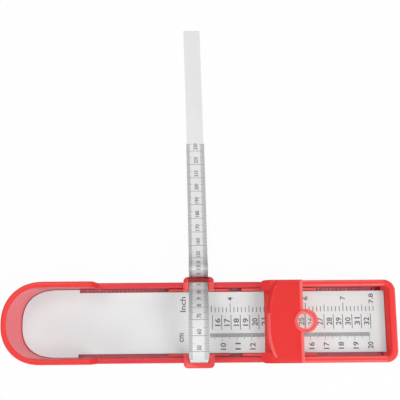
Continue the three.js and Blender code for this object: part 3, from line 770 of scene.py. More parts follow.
def fit_out(piece: Piece, body: Body, slot: Slot | None, *nodes: str) -> None:
    """Puts a piece on its body and reports it.

    Args:
        piece: The finished piece.
        body: The body it moves with.
        slot: The record's slot for its finish, if it has one; not used.
        *nodes: The nodes that it stands for.
    """
    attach(piece, body.value)
    if nodes:
        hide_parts(*nodes)
    LOG.info("%s rides on %s, %d faces", piece.name, body.value, len(piece.data.polygons))


# Printing


@dataclass(frozen=True)
class Mark:
    """A printed bar, laid out flat: its middle and its size."""

    x: float
    y: float
    length_x: float
    length_y: float


@dataclass(frozen=True)
class Word:
    """A printed word that reads towards +Y: its middle, its height along X and its width along Y.

    Its strokes swell by its weight, as a share of the glyph size.
    """

    text: str
    x: float
    y: float
    height: float
    width: float
    weight: float = 0.02


@dataclass
class Printer:
    """Models thin printed marks and words that stand on a level surface."""

    thickness: float = 0.03 * MM
    sunk: float = 0.01 * MM
    word_steps: int = 3
    word_merged_within: float = 0.0001

    def bars(self, marks: list[Mark], name: str, level: float = 0.0) -> Piece:
        """Models one bar and copies it to every mark.

        Args:
            marks: Places and sizes.
            name: The name of the whole.
            level: Height of the surface.

        Returns:
            One mesh object with all the bars.
        """
        only()
        bpy.ops.mesh.primitive_cube_add(size=1)
        pattern = bpy.context.object
        with editing(pattern):
            bpy.ops.transform.translate(value=(0, 0, 0.5))
        copies = []
        for mark in marks:
            bar = placed(name, pattern.data.copy())
            place = Matrix.Translation((mark.x, mark.y, -self.sunk))
            size = Matrix.Diagonal((mark.length_x, mark.length_y, self.thickness + self.sunk, 1))
            bar.data.transform(place @ size)
            copies.append(bar)
        bpy.data.objects.remove(pattern)
        return self._raised(joined(copies, name), level)

    def words(self, words: list[Word], name: str, level: float = 0.0) -> Piece:
        """Sets words and numbers.

        Args:
            words: What they say, with places and sizes.
            name: The name of the whole.
            level: Height of the surface.

        Returns:
            One mesh object with all the words.
        """
        return self._raised(joined([self._word(word) for word in words], name), level)

    @staticmethod
    def _raised(piece: Piece, level: float) -> Piece:
        """Lifts a flat piece onto the surface."""
        piece.data.transform(Matrix.Translation((0, 0, level)))
        return piece

    def _word(self, word: Word) -> Piece:
        """Models one word.

        Args:
            word: The word.

        Returns:
            The word as a thin mesh.
        """
        only()
        bpy.ops.object.text_add()
        text = bpy.context.object.data
        text.body, text.size, text.offset = word.text, 1, word.weight
        text.resolution_u, text.extrude = self.word_steps, 0.5
        bpy.ops.object.convert(target="MESH")
        piece = bpy.context.object
        with editing(piece):
            bpy.ops.mesh.remove_doubles(threshold=self.word_merged_within)
        places = [vert.co for vert in piece.data.vertices]
        low, high = (Vector([extreme(place[axis] for place in places) for axis in range(3)])
                     for extreme in (min, max))
        middle, size = (low + high) / 2, high - low
        thick = self.thickness + self.sunk
        to_size = Matrix.Diagonal((word.width / size.x, word.height / size.y, thick / size.z, 1))
        lift = Matrix.Translation((word.x, word.y, thick / 2 - self.sunk))
        turn = Matrix.Rotation(math.pi / 2, 4, "Z")
        piece.data.transform(lift @ turn @ to_size @ Matrix.Translation(-middle))
        return piece


@dataclass(frozen=True)
class TickRow:
    """A row of ticks across the plate.

    The known value stands at x, and a unit of so many parts is so long. Each tick runs along Y
    from the base to the first of the ends at every tenth value, to the second at the fifths
    between them and to the third elsewhere.
    """

    values: range
    known: int
    x: float
    unit: float
    parts: int
    base: float
    ends: tuple[float, float, float]
    line: float

    def place(self, value: float) -> float:
        """Where a value stands along X."""
        return self.x + (value - self.known) / self.parts * self.unit

    def ticks(self) -> list[Mark]:
        """Lays out the row.

        Returns:
            Its ticks.
        """
        marks = []
        for value in self.values:
            end = self.ends[0 if value % 10 == 0 else 1 if value % 5 == 0 else 2]
            middle, length = (self.base + end) / 2, abs(end - self.base)
            marks.append(Mark(self.place(value), middle, self.line, length))
        return marks


# Sub-assemblies. A tilt is the share of a face's direction along an axis where a finish starts.


@dataclass
class FrameBody:
    """The red frame with its heel cup and rails, and the screws under it."""

    red: Material
    rail: Material
    crown: Material
    track: Material
    dull: Material
    steel: Material
    edge_rounding: float = 0.25 * MM
    screw_rounding: float = 0.1 * MM
    screws: int = 4
    rail_from: float = -68.0 * MM
    rail_to: float = 121.0 * MM
    rail_inner: float = 22.5 * MM
    rail_low: float = 14.0 * MM
    crown_from: float = 40.0 * MM
    track_from: float = -84.0 * MM
    track_inner: float = 18.0 * MM
    track_outer: float = 24.0 * MM
    step_reach: float = 4.0 * MM
    rail_tilt: float = 0.5
    track_tilt: float = 0.3
    ramp_tilt: float = 0.3
    end_tilt: float = 0.5

    def build(self) -> None:
        """Builds the frame's skin and dresses the screws."""
        shell = skin("base_frame", "frame_shell", self.red, self.edge_rounding, underside=True)
        paint(shell, self.rail, self._on_rail)
        # The rails' tops towards the toe are painted a paler red: a painted highlight.
        paint(shell, self.crown,
              lambda face: self._on_rail(face) and face.center.x > self.crown_from)
        # The floors of the tracks are painted pale pink: painted light and painted reflection of
        # the white plate.
        paint(shell, self.track, self._in_track)
        paint(shell, self.dull, self._on_step)
        fit_out(shell, Body.FRAME, Slot.RED, "base_frame")
        for number in range(1, self.screws + 1):
            node = f"plate_screw_{number}"
            screw = skin(node, f"plate_screw_head_{number}", self.steel, self.screw_rounding)
            fit_out(screw, Body.FRAME, Slot.STEEL, node)

    def _on_rail(self, face: Face) -> bool:
        """Whether a face lies on the rounded top of one of the two rails."""
        above = self.rail_from < face.center.x < self.rail_to and face.center.z > self.rail_low
        return above and abs(face.center.y) > self.rail_inner and face.normal.z > self.rail_tilt

    def _in_track(self, face: Face) -> bool:
        """Tells whether a face is the floor of one of the two tracks beside the plate.

        Args:
            face: The face.

        Returns:
            Whether it is.
        """
        below = self.track_from < face.center.x < self.rail_to and face.center.z < self.rail_low
        beside = self.track_inner < abs(face.center.y) < self.track_outer
        return below and beside and face.normal.z > self.track_tilt

    def _on_step(self, face: Face) -> bool:
        """Tells whether a face lies on the ramp down to a rail, or looks back from the end bar.

        Args:
            face: The face.

        Returns:
            Whether it does.
        """
        x, forward = face.center.x, face.normal.x
        at_start = abs(x - self.rail_from) < self.step_reach and face.center.z > self.rail_low
        looks_back = x > self.rail_to - self.step_reach and forward < -self.end_tilt
        return looks_back or (at_start and forward > self.ramp_tilt)


@dataclass
class ScalePlate:
    """The white plate and the scales printed on it."""

    white: Material
    shade: Material
    ink: Material
    tone: Material
    edge_rounding: float = 0.3 * MM
    sizes: TickRow = TickRow(
        range(16, 34), known=16, x=7.63 * MM, unit=6.313 * MM, parts=1,
        base=-4.9 * MM, ends=(4.9 * MM, 4.9 * MM, 4.9 * MM), line=0.46 * MM)
    inches: TickRow = TickRow(
        range(35, 79), known=40, x=19.79 * MM, unit=25.6 * MM, parts=10,
        base=6.75 * MM, ends=(12.6 * MM, 11.1 * MM, 10.1 * MM), line=0.46 * MM)
    centimetres: TickRow = TickRow(
        range(92, 201), known=100, x=14.17 * MM, unit=9.95 * MM, parts=10,
        base=-7.35 * MM, ends=(-12.7 * MM, -11.5 * MM, -10.0 * MM), line=0.22 * MM)
    band_values: tuple[float, float] = (91.8, 200.3)
    heel_edge_to: float = -84.0 * MM
    top_tilt: float = 0.97
    printer: Printer = field(default_factory=Printer)

    def build(self) -> None:
        """Builds the plate, then prints its rows."""
        plate = skin("scale_plate", "scale_plate_skin", self.white, self.edge_rounding, segments=3)
        paint(plate, self.shade,
              lambda face: face.center.x < self.heel_edge_to and face.normal.z < self.top_tilt)
        fit_out(plate, Body.FRAME, Slot.WHITE, "scale_plate")
        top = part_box("scale_plate")[1].z
        ticks = [*self.sizes.ticks(), *self.inches.ticks(), *self.centimetres.ticks()]
        lines = self.printer.bars(ticks, "scale_lines", top)
        words = self.printer.words(self._words(), "scale_numbers", top)
        band = self.printer.bars([self._band()], "centimetre_band", top)
        for piece, ink in ((lines, self.ink), (words, self.ink), (band, self.tone)):
            dress(piece, ink)
            fit_out(piece, Body.FRAME, None)

    def _band(self) -> Mark:
        """Lays out the grey band behind the millimetre ticks.

        Returns:
            The band.
        """
        start, end = (self.centimetres.place(value) for value in self.band_values)
        high, low = self.centimetres.base, self.centimetres.ends[-1]
        return Mark((start + end) / 2, (low + high) / 2, end - start, high - low)

    def _words(self) -> list[Word]:
        """Lays out shoe sizes, centimetres, inches and the names of the two units.

        Returns:
            The words.
        """
        words = []
        for size in self.sizes.values[:-1]:
            x = self.sizes.place(size + 0.5) + 0.4 * MM
            words.append(Word(str(size), x, y=0.1 * MM, height=3.8 * MM, width=5.1 * MM))
        for number in range(10, 21):
            x = self.centimetres.place(10 * number) + 0.6 * MM
            words.append(Word(str(number), x, y=-16.0 * MM, height=3.7 * MM, width=4.6 * MM))
        for number in range(4, 8):
            x = self.inches.place(10 * number)
            words.append(Word(str(number), x, y=15.7 * MM, height=3.4 * MM, width=2.5 * MM))
        x = self.inches.place(self.inches.values[-1]) - 1.2 * MM
        words.append(Word("7.8", x, y=15.3 * MM, height=3.2 * MM, width=6.6 * MM))
        for text, x, y, height, width in (("Inch", -12.3 * MM, 12.2 * MM, 3.9 * MM, 10.2 * MM),
                                          ("cm", -13.2 * MM, -10.0 * MM, 2.8 * MM, 5.8 * MM)):
            words.append(Word(text, x, y, height, width, weight=0.014))
        return words


@dataclass
class ToeStop:
    """The sliding toe stop, its sight window and the hairline across it."""

    red: Material
    crown: Material
    dull: Material
    lit: Material
    clear: Material
    ink: Material
    edge_rounding: float = 0.3 * MM
    ring_rounding: float = 0.7 * MM
    corner_rounding: float = 2.4 * MM
    corner_reach: float = 0.3 * MM
    level_within: float = 0.02 * MM
    round_within: float = 0.05 * MM
    upper_height: float = 3.0 * MM
    rear_edge: float = 2.3 * MM
    rear_height: float = 4.0 * MM
    rear_tilt: float = 0.1
    ring_width: float = 1.6 * MM
    ring_height: float = 0.75 * MM
    bore_margin: float = 0.5 * MM
    runner_depth: float = 18.0 * MM
    runner_tilt: float = 0.7
    skirt_half: float = 23.0 * MM
    skirt_tilt: float = 0.35
    rubbed_to: float = 1.0 * MM
    rubbed_tilt: float = 0.3
    lens_rounding: float = 0.2 * MM
    lens_sides: int = 96
    hairline_width: float = 0.22 * MM
    printer: Printer = field(default_factory=Printer)
    centre: Vector = field(init=False)
    radius: float = field(init=False)
    top: float = field(init=False)
    side: float = field(init=False)
    front: float = field(init=False)
    rear: float = field(init=False)

    def build(self) -> None:
        """Builds the stop's shell, then the window and its hairline."""
        low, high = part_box("sight_window")
        self.centre, self.radius = (low + high) / 2, (high.x - low.x) / 2
        self.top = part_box("toe_stop")[1].z
        shell = copy_of("toe_stop", "toe_stop_shell")
        round_chosen(shell, self.ring_rounding, self._on_rim, clamp=False)
        self.side = max(abs(vert.co.y) for vert in shell.data.vertices)
        self.front = min(vert.co.x for vert in shell.data.vertices if self._outermost(vert.co))
        round_chosen(shell, self.corner_rounding, self._at_corner, clamp=True)
        soften(shell, self.edge_rounding)
        dress(shell, self.red)
        self._dress(shell)
        fit_out(shell, Body.STOP, Slot.RED, "toe_stop")
        self._window(high.z - low.z, high.z)

    def _dress(self, shell: Piece) -> None:
        """Gives the shell's faces their own reds: painted highlights, a dull red and painted light
        in the bore.

        Args:
            shell: The shell, red all over.
        """
        upper = [vert.co.x for vert in shell.data.vertices
                 if vert.co.z > self.top - self.upper_height and abs(vert.co.y) > 2 * self.radius]
        self.rear = max(upper) - self.rear_edge
        cut_through(shell, (Vector((self.rear, 0, 0)), ALONG_X))
        # Painted highlights on the ring, the rear edge and the runners.
        paint(shell, self.crown, self._is_crown)
        paint(shell, self.dull, self._is_skirt)
        # A painted highlight along the lower half of the bow's rounded edge.
        paint(shell, self.crown, lambda face: self._is_skirt(face)
              and face.center.y < self.rubbed_to and face.normal.z > self.rubbed_tilt)
        # Painted light in the bore under the window.
        paint(shell, self.lit, self._in_bore)

    def _on_rim(self, edge: bmesh.types.BMEdge) -> bool:
        """Tells whether an edge runs round the window at the height of the ring's top.

        Args:
            edge: The edge.

        Returns:
            Whether it does.
        """
        level = all(abs(vert.co.z - self.top) < self.level_within for vert in edge.verts)
        near, far = sorted((vert.co.xy - self.centre.xy).length for vert in edge.verts)
        return level and far - near < self.round_within

    def _outermost(self, place: Vector) -> bool:
        """Whether a point is on one of the two outer sides."""
        return abs(place.y) > self.side - self.corner_reach

    def _at_corner(self, edge: bmesh.types.BMEdge) -> bool:
        """Whether an edge stands at one of the two outer front corners."""
        return all(vert.co.x < self.front + self.corner_reach and self._outermost(vert.co)
                   for vert in edge.verts)

    def _is_skirt(self, face: Face) -> bool:
        """Whether a face belongs to the steep front below the bow."""
        return face.normal.x < -self.skirt_tilt and abs(face.center.y) < self.skirt_half

    def _is_crown(self, face: Face) -> bool:
        """Tells whether a face gets a painted highlight: on the ring, the rear edge or a runner of
        the stop.

        Args:
            face: The face.

        Returns:
            Whether it is.
        """
        depth, upward = self.top - face.center.z, face.normal.z
        ring = depth < self.ring_height
        edge = face.center.x > self.rear and depth < self.rear_height and upward > self.rear_tilt
        runner = depth > self.runner_depth and upward > self.runner_tilt
        return ring or edge or runner

    def _in_bore(self, face: Face) -> bool:
        """Whether a face is in the bore that the window closes."""
        inside = (face.center.xy - self.centre.xy).length < self.radius + self.bore_margin
        return inside and face.center.z < self.top - self.ring_height

    def _window(self, depth: float, surface: float) -> None:
        """Builds a clear disc with a polished rim, one dark line across it and its two notches.

        Args:
            depth: The disc's thickness.
            surface: Height of its upper face.
        """
        only()
        bpy.ops.mesh.primitive_cylinder_add(vertices=self.lens_sides, radius=self.radius,
                                            depth=depth, location=self.centre)
        lens = settle(bpy.context.object, "sight_lens")
        soften(lens, self.lens_rounding, segments=3)
        dress(lens, self.clear)
        fit_out(lens, Body.STOP, Slot.CLEAR, "sight_window")
        x, y, width = self.centre.x, self.centre.y, self.hairline_width
        across = Mark(x, y, width, 2 * self.radius)
        hairline = self.printer.bars([across], "sight_hairline", surface)
        reach = self.radius + self.ring_width / 2
        ends = [Mark(x, y + side * reach, width, self.ring_width) for side in (-1, 1)]
        notches = self.printer.bars(ends, "ring_notches", self.top)
        for piece in (hairline, notches):
            dress(piece, self.ink)
            fit_out(piece, Body.STOP, None)


@dataclass
class TapeLoops:
    """The two loops that slide along the rails and hold the tape, and their pins."""

    red: Material
    dark: Material
    deep: Material
    steel: Material
    edge_rounding: float = 0.25 * MM
    pin_rounding: float = 0.08 * MM
    bar_from: float = 26.3 * MM
    bar_half: float = 7.2 * MM
    pins: int = 2

    def build(self) -> None:
        """Builds both loops and dresses the pins."""
        for side, body in (("left", Body.LEFT), ("right", Body.RIGHT)):
            loop = skin(f"tape_loop_{side}", f"{side}_loop_shell", self.red, self.edge_rounding)
            middle = sum(corner.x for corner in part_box(f"tape_loop_{side}")) / 2
            cut_through(loop, (Vector((0, self.bar_from, 0)), ALONG_Y),
                        (Vector((middle - self.bar_half, 0, 0)), ALONG_X),
                        (Vector((middle + self.bar_half, 0, 0)), ALONG_X))
            # Faces past bar_from along Y are painted a darker red: painted shade. Their middle is a
            # see-through red.
            paint(loop, self.dark, lambda face: face.center.y > self.bar_from)
            paint(loop, self.deep, lambda face: face.center.y > self.bar_from
                  and abs(face.center.x - middle) < self.bar_half)
            fit_out(loop, body, Slot.RED, f"tape_loop_{side}")
        for number in range(1, self.pins + 1):
            node = f"tape_pin_{number}"
            pin = skin(node, f"tape_rivet_{number}", self.steel, self.pin_rounding)
            fit_out(pin, Body.RIGHT, Slot.STEEL, node)


class TapeLine:
    """Middle line of the tape, read from its node and made smooth."""

    SIDE_TILT = 0.7
    END_WITHIN = 0.05 * MM
    THICK_WITHIN = 0.02 * MM
    TONGUE_NARROWER = 0.2 * MM

    def __init__(self, step: float) -> None:
        """Reads the line.

        Args:
            step: Length of one stretch of the smooth line, in metres.
        """
        left, right = self._edge(-1), self._edge(1)
        middles = [(first + second) / 2 for first, second in zip(left, right)]
        self.points = self._smooth(middles, step)
        self.ways = [0.0]
        for before, after in zip(self.points, self.points[1:]):
            self.ways.append(self.ways[-1] + (after - before).length)
        self.length = self.ways[-1]
        self.tongue_from = next(first.y for first, second in zip(left, right)
                                if (second - first).length < GirthTape.WIDTH - self.TONGUE_NARROWER)
        self.tongue_half = (right[-1] - left[-1]).length / 2

    def _edge(self, towards: int) -> list[Vector]:
        """Walks along one long side of the tape from its fixed end.

        Args:
            towards: 1 for the side at +X, -1 for the other.

        Returns:
            The middles of that side's short edges, in their order.
        """
        mesh = bmesh.new()
        mesh.from_mesh(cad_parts["girth_tape"].data)
        bmesh.ops.remove_doubles(mesh, verts=mesh.verts, dist=MERGED_WITHIN)
        mesh.normal_update()
        side = {face for face in mesh.faces if face.normal.x * towards > self.SIDE_TILT}
        ends_at = {extreme(vert.co.y for vert in mesh.verts) for extreme in (min, max)}
        across, linked = {}, {}
        for edge in mesh.edges:
            beside = any(face in side for face in edge.link_faces)
            at_end = all(min(abs(vert.co.y - y) for y in ends_at) < self.END_WITHIN
                         for vert in edge.verts)
            thick = abs(edge.calc_length() - GirthTape.THICKNESS) < self.THICK_WITHIN
            if beside and thick and (at_end or all(face in side for face in edge.link_faces)):
                across.update({vert: edge for vert in edge.verts})
        for face in [face for face in mesh.faces if face in side]:
            ends = list(dict.fromkeys(across[vert] for vert in face.verts if vert in across))
            for first in ends:
                linked.setdefault(first, []).extend(edge for edge in ends if edge != first)
        middle = {edge: (edge.verts[0].co + edge.verts[1].co) / 2 for edge in linked}
        current = min(middle, key=lambda edge: middle[edge].y)
        chain, seen = [middle[current]], {current}
        while onward := [edge for edge in linked[current] if edge not in seen]:
            current = onward[0]
            seen.add(current)
            chain.append(middle[current])
        mesh.free()
        return chain

    @staticmethod
    def _smooth(points: list[Vector], step: float) -> list[Vector]:
        """Puts a smooth curve through points.

        Args:
            points: The points it passes.
            step: Longest stretch of the result.

        Returns:
            Closely spaced points on the curve.
        """
        line = [points[0]]
        padded = [points[0], *points, points[-1]]
        for before, start, end, after in zip(padded, padded[1:], padded[2:], padded[3:]):
            span = (end - start).length
            leave = (end - before).normalized() * span
            arrive = (after - start).normalized() * span
            count = max(1, math.ceil(span / step))
            for part in range(1, count + 1):
                t = part / count
                line.append(start * (2 * t ** 3 - 3 * t ** 2 + 1)
                            + leave * (t ** 3 - 2 * t ** 2 + t)
                            + end * (3 * t ** 2 - 2 * t ** 3) + arrive * (t ** 3 - t ** 2))
        return line

    def place(self, across: float, along: float, height: float) -> Vector:
        """Finds a point on the tape.

        Args:
            across: Way from the middle line, towards +X.
            along: Way along the line from the fixed end.
            height: Way out of the strip's middle plane, on the printed side.

        Returns:
            The point in the frame.
        """
        index = min(max(bisect_left(self.ways, along) - 1, 0), len(self.ways) - 2)
        start, end = self.points[index], self.points[index + 1]
        share = (along - self.ways[index]) / (self.ways[index + 1] - self.ways[index])
        normal = self._normal(index).lerp(self._normal(index + 1), share)
        return start.lerp(end, share) + Vector((across, 0, 0)) + normal * height

    def _normal(self, index: int) -> Vector:
        """The printed face's outward direction at one point of the line."""
        run = self.points[min(len(self.points) - 1, index + 1)] - self.points[max(0, index - 1)]
        return Vector((0, -run.z, run.y)).normalized()


@dataclass
class GirthTape:
    """The girth tape and the scale printed on it."""

    WIDTH = 12.8 * MM
    THICKNESS = 0.4 * MM
    STRIP_MAP = "strip"

    vinyl: TapeVinyl
    ink: Material
    edge_rounding: float = 0.1 * MM
    narrowed: float = 0.88
    narrow_to: float = 22.0 * MM
    widening: float = 12.0 * MM
    zero_way: float = -14.0 * MM
    first_number: int = 50
    last_number: int = 230
    toned_values: tuple[int, int] = (42, 235)
    line_width: float = 0.26 * MM
    tick_width: float = 0.182 * MM
    tick_reach: float = 2.0 * MM
    half_line: float = 3.6 * MM
    number_x: float = 0.1 * MM
    number_gap: float = 0.9 * MM
    number_height: float = 2.8 * MM
    digit_width: float = 1.55 * MM
    step: float = 0.7 * MM
    stretch: float = 1.0 * MM
    printer: Printer = field(default_factory=Printer)
    line: TapeLine = field(init=False)

    def build(self) -> None:
        """Builds the strip along its line, then wraps the printed scale round it."""
        self.line = TapeLine(self.step)
        strip = self._strip()
        toned = [self._way(value) / self.line.length for value in self.toned_values]
        dress(strip, self.vinyl.material(*toned))
        fit_out(strip, Body.RIGHT, Slot.VINYL, "girth_tape")
        scale = self._scale()
        dress(scale, self.ink)
        fit_out(scale, Body.RIGHT, None)
        LOG.info("tape line is %.1f mm long", self.line.length / MM)

    def _strip(self) -> Piece:
        """Extrudes the tape's end edge along its line and gives it its thickness.

        Returns:
            The tape as a piece.
        """
        only()
        points = self.line.points
        bpy.ops.mesh.primitive_plane_add(size=1)
        strip = bpy.context.object
        strip.name = strip.data.name = "girth_tape_strip"
        first, second = points[:2]
        for vert in strip.data.vertices:
            start = first if vert.co.y < 0 else second
            vert.co = start + Vector((math.copysign(self.WIDTH / 2, vert.co.x), 0, 0))
        with editing(strip):
            bpy.ops.mesh.select_mode(type="EDGE")
            bpy.ops.mesh.select_all(action="DESELECT")
            mesh = bmesh.from_edit_mesh(strip.data)
            for edge in mesh.edges:
                if all((vert.co - second).length < (vert.co - first).length for vert in edge.verts):
                    edge.select_set(True)
            bmesh.update_edit_mesh(strip.data)
            for before, after in zip(points[1:], points[2:]):
                bpy.ops.mesh.extrude_region_move(TRANSFORM_OT_translate={"value": after - before})
        for index, vert in enumerate(strip.data.vertices[4:], start=4):
            point = points[index // 2]
            half = self._half_width(index // 2)
            vert.co = point + Vector((math.copysign(half, vert.co.x - point.x), 0, 0))
        self._map(strip)
        modify(strip, "SOLIDIFY", thickness=self.THICKNESS, offset=0)
        soften(strip, self.edge_rounding, sharp=50.0)
        return strip

    def _half_width(self, index: int) -> float:
        """Half the strip's width at one point: narrow near the fixed end and in the tongue.

        Args:
            index: The point's number on the line.

        Returns:
            The half width.
        """
        in_tongue = self.line.points[index].y > self.line.tongue_from
        widened = max(0.0, self.line.ways[index] - self.narrow_to) / self.widening
        share = min(1.0, self.narrowed + (1 - self.narrowed) * widened)
        return (self.line.tongue_half if in_tongue else self.WIDTH / 2) * share

    def _map(self, strip: Piece) -> None:
        """Maps the strip: U across it from 0 to 1, V along it from 0 to 1.

        Args:
            strip: The strip, with two vertices for each point of its line.
        """
        layer = strip.data.uv_layers.active or strip.data.uv_layers.new()
        layer.name = self.STRIP_MAP
        for loop in strip.data.loops:
            index = loop.vertex_index // 2
            across = strip.data.vertices[loop.vertex_index].co.x - self.line.points[index].x
            along = self.line.ways[index]
            layer.data[loop.index].uv = across / self.WIDTH + 0.5, along / self.line.length

    def _scale(self) -> Piece:
        """Lays out the scale flat, cuts it into short stretches and wraps it round the tape.

        Returns:
            The printed scale.
        """
        lines = self.printer.bars(self._marks(), "tape_lines")
        flat = joined([lines, self.printer.words(self._words(), "tape_numbers")], "tape_scale")
        low, high = (extreme(vert.co.y for vert in flat.data.vertices) for extreme in (min, max))
        cuts = range(1, math.floor((high - low) / self.stretch) + 1)
        cut_through(flat, *((Vector((0, low + cut * self.stretch, 0)), ALONG_Y) for cut in cuts))
        for vert in flat.data.vertices:
            across, along, height = vert.co
            vert.co = self.line.place(across, along, self.THICKNESS / 2 + height)
        only(flat)
        bpy.ops.object.shade_flat()
        return flat

    def _way(self, value: float) -> float:
        """Way along the line at which the scale says a number of millimetres."""
        return self.zero_way + value * MM

    def _marks(self) -> list[Mark]:
        """Lays out millimetre ticks along both edges, longer at fives, and full lines at tens.

        Returns:
            The ticks and lines.
        """
        marks = []
        for value in range(self.first_number, self.last_number + 6):
            along = self._way(value)
            if value % 10 == 0:
                marks.append(Mark(0, along, self.WIDTH, self.line_width))
                continue
            reach = self.half_line if value % 5 == 0 else self.tick_reach
            for side in (-1, 1):
                marks.append(Mark(side * (self.WIDTH - reach) / 2, along, reach, self.tick_width))
        return marks

    def _words(self) -> list[Word]:
        """Lays out a number past each full line.

        Returns:
            The numbers.
        """
        words = []
        for value in range(self.first_number, self.last_number + 1, 10):
            width = self.digit_width * len(str(value))
            along = self._way(value) + self.number_gap + width / 2
            words.append(Word(str(value), self.number_x, along, self.number_height, width))
        return words


@dataclass(frozen=True)
class Softbox:
    """A lamp that looks at the object: its middle, its size and its power in watts."""

    name: str
    place: tuple[float, float, float]
    size: tuple[float, float]
    power: float

    def hang(self) -> None:
        """Hangs the lamp."""
        data = bpy.data.lights.new(self.name, "AREA")
        data.shape = "RECTANGLE"
        data.size, data.size_y = self.size
        data.energy = self.power
        lamp = placed(self.name, data)
        lamp.location = self.place
        lamp.rotation_mode = "QUATERNION"
        lamp.rotation_quaternion = (-Vector(self.place)).to_track_quat("-Z", "Y")


@dataclass
class Studio:
    """Pale floor, soft lights and the camera."""

    lens: float = 67.5
    sensor: float = 36.0
    seen_from: float = 0.01
    seen_to: float = 50.0
    eye: tuple[float, float, float] = (-1.763 * MM, -11.489 * MM, 522.44 * MM)
    pan: float = -0.0033
    tilt: float = 0.18417
    roll: float = -0.0089
    floor_size: float = 6.0
    floor_colours: tuple[Colour, Colour] = ((240, 240, 240), (244, 244, 244))
    floor_glow: float = 0.94
    fill: float = 0.16
    softboxes: tuple[Softbox, ...] = (
        Softbox("right_softbox", (0.9, 0.0, 0.45), (0.9, 0.5), 3.2),
        Softbox("near_softbox", (0.0, -0.9, 0.45), (1.1, 0.5), 2.2),
        Softbox("left_softbox", (-0.75, -0.5, 0.5), (0.4, 0.5), 2.6),
        Softbox("far_softbox", (0.0, 0.9, 0.5), (0.9, 0.4), 2.0),
        Softbox("upper_left_softbox", (-0.38, 0.33, 0.9), (0.4, 0.4), 2.7),
        Softbox("upper_right_softbox", (0.42, -0.33, 0.9), (0.4, 0.4), 3.5),
    )

    def build(self) -> None:
        """Sets up the whole studio."""
        self._camera()
        self._floor()
        self._world()
        for softbox in self.softboxes:
            softbox.hang()
        bpy.context.scene.view_settings.view_transform = "Standard"

    def _camera(self) -> None:
        """Puts the camera where the photograph was taken from."""
        data = bpy.data.cameras.new("camera")
        data.lens, data.sensor_width = self.lens, self.sensor
        data.clip_start, data.clip_end = self.seen_from, self.seen_to
        camera = placed("camera", data)
        turn = (Matrix.Rotation(self.pan, 4, "Y") @ Matrix.Rotation(self.tilt, 4, "X")
                @ Matrix.Rotation(self.roll, 4, "Z"))
        camera.matrix_world = Matrix.Translation(self.eye) @ turn
        bpy.context.scene.camera = camera

    def _floor(self) -> None:
        """Lays a pale floor that looks white and keeps the object's shadow."""
        only()
        bpy.ops.mesh.primitive_plane_add(size=self.floor_size)
        floor = settle(bpy.context.object, "studio_floor")
        shader = Shader("floor_paper")
        cloud = shader.group(GRAIN, Grain_Density=400.0, Cloud_Density=4.0)["Cloud"]
        first, second = self.floor_colours
        shader.feed(shader.main, {
            "Base Color": shader.mixed(linear(first), linear(second), cloud),
            "Roughness": 0.9,
            "Specular IOR Level": 0.0,
        })
        white = shader.add("Emission").outputs["Emission"]
        share = shader.calc("MULTIPLY", shader.ray("Camera"), self.floor_glow)
        shader.show(shader.blended(shader.plain, white, share))
        dress(floor, shader.material)

    def _world(self) -> None:
        """Makes the world white to the eye and in reflections, and a plain fill light besides."""
        world = bpy.data.worlds.new("studio")
        world.use_nodes = True
        bpy.context.scene.world = world
        graph = Graph(world.node_tree)
        white = linear((255, 255, 255))
        fill, seen = (graph.add("Background", {"Color": white, "Strength": strength}).outputs[0]
                      for strength in (self.fill, 1.0))
        direct = graph.calc("MAXIMUM", graph.ray("Camera"), graph.ray("Glossy"))
        share = graph.calc("MAXIMUM", direct, graph.ray("Transmission"))
        surface = graph.blended(fill, seen, share)
        graph.feed(world.node_tree.nodes["World Output"], {"Surface": surface})


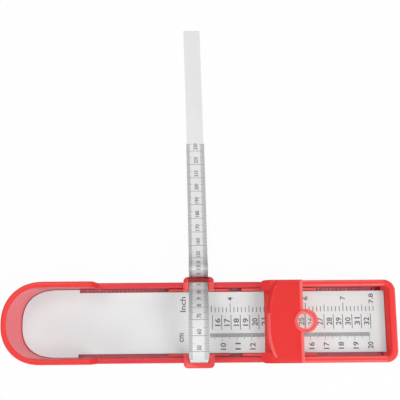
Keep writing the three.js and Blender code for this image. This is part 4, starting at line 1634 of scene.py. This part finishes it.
def main() -> None:
    """Builds the studio, the finishes and the sub-assemblies in order."""
    logging.basicConfig(level=logging.INFO, format="%(name)s: %(message)s")
    Studio().build()
    red = MouldedPlastic("red_moulded", (239, 56, 52), (235, 52, 48), (250, 114, 110),
                         specular=0.25, sheen=(240, 126, 133), sheen_most=0.85,
                         bounce=(228, 208, 210), lets_through=0.55, glow=(246, 240, 242)).material()
    glossy = MouldedPlastic("red_polished", (231, 52, 50), (228, 49, 47), (238, 96, 92), dust=0.01,
                            roughness=0.22, specular=0.22, lets_through=0.8).material()
    # A paler red for the toe stop's painted highlights.
    ring = MouldedPlastic("red_stop_painted_highlight", (250, 98, 97), (246, 92, 92), (252, 122, 120), specular=0.2,
                          sheen=(250, 136, 136), lets_through=0.8).material()
    dull = MouldedPlastic("red_satin", (236, 56, 54), (232, 52, 50), (238, 96, 92), dust=0.0,
                          roughness=0.5, specular=0.06).material()
    lit = MouldedPlastic("red_in_window_light", (250, 176, 172), (246, 170, 166), (250, 190, 186),
                         dust=0.0, roughness=0.5, specular=0.1, lets_through=0.8).material()
    rail = MouldedPlastic("red_rails", (223, 56, 64), (219, 51, 59), (234, 92, 96), specular=0.3,
                          sheen=(236, 112, 118)).material()
    # A paler red for the painted highlight on the rails' tops towards the toe.
    crown = MouldedPlastic("red_rails_painted_highlight", (246, 98, 97), (242, 92, 92), (250, 122, 120),
                           specular=0.25, sheen=(246, 136, 136)).material()
    # Pale pink for the painted light and painted reflection in the tracks.
    track = MouldedPlastic("red_tracks_painted_light", (255, 136, 148), (252, 130, 142),
                           (255, 150, 158)).material()
    # The loops' red is paler than the frame's: painted light.
    loop_painted_light = MouldedPlastic("red_loops_painted_light", (242, 76, 76), (238, 72, 72), (246, 106, 104),
                              specular=0.35, sheen=(244, 130, 132)).material()
    # A darker red for the painted shade on the loops.
    dark = MouldedPlastic("red_loop_painted_shade", (216, 46, 58), (210, 42, 54), (226, 66, 74),
                          specular=0.3).material()
    deep = MouldedPlastic("red_see_through", (214, 26, 32), (208, 22, 28), (226, 56, 60), dust=0.01,
                          roughness=0.12, bounce=None, transmission=0.85).material()
    white = MouldedPlastic("white_moulded", (227, 228, 228), (224, 225, 225), (234, 235, 235),
                           roughness=0.45, rub_strength=1.0, bounce=None).material()
    shade = MouldedPlastic("white_in_red_shade", (196, 36, 66), (188, 32, 60), (208, 52, 80),
                           dust=0.05, bounce=None).material()
    ink = PrintInk("print_ink", (78, 78, 82), (104, 104, 108)).material()
    tone = PrintInk("print_tone", (176, 176, 178), (186, 186, 188)).material()
    tape_ink = PrintInk("tape_ink", (92, 90, 92), (118, 116, 118)).material()
    clear = ClearPlastic("clear_lens").material()
    steel = ZincSteel("zinc_plate").material()
    vinyl = TapeVinyl("tape_vinyl_white", (230, 230, 231), (224, 224, 222), (198, 198, 200))
    FrameBody(red, rail, crown, track, dull, steel).build()
    ScalePlate(white, shade, ink, tone).build()
    ToeStop(glossy, ring, dull, lit, clear, ink).build()
    TapeLoops(loop_painted_light, dark, deep, steel).build()
    GirthTape(vinyl, tape_ink).build()


if __name__ == "__main__":
    main()
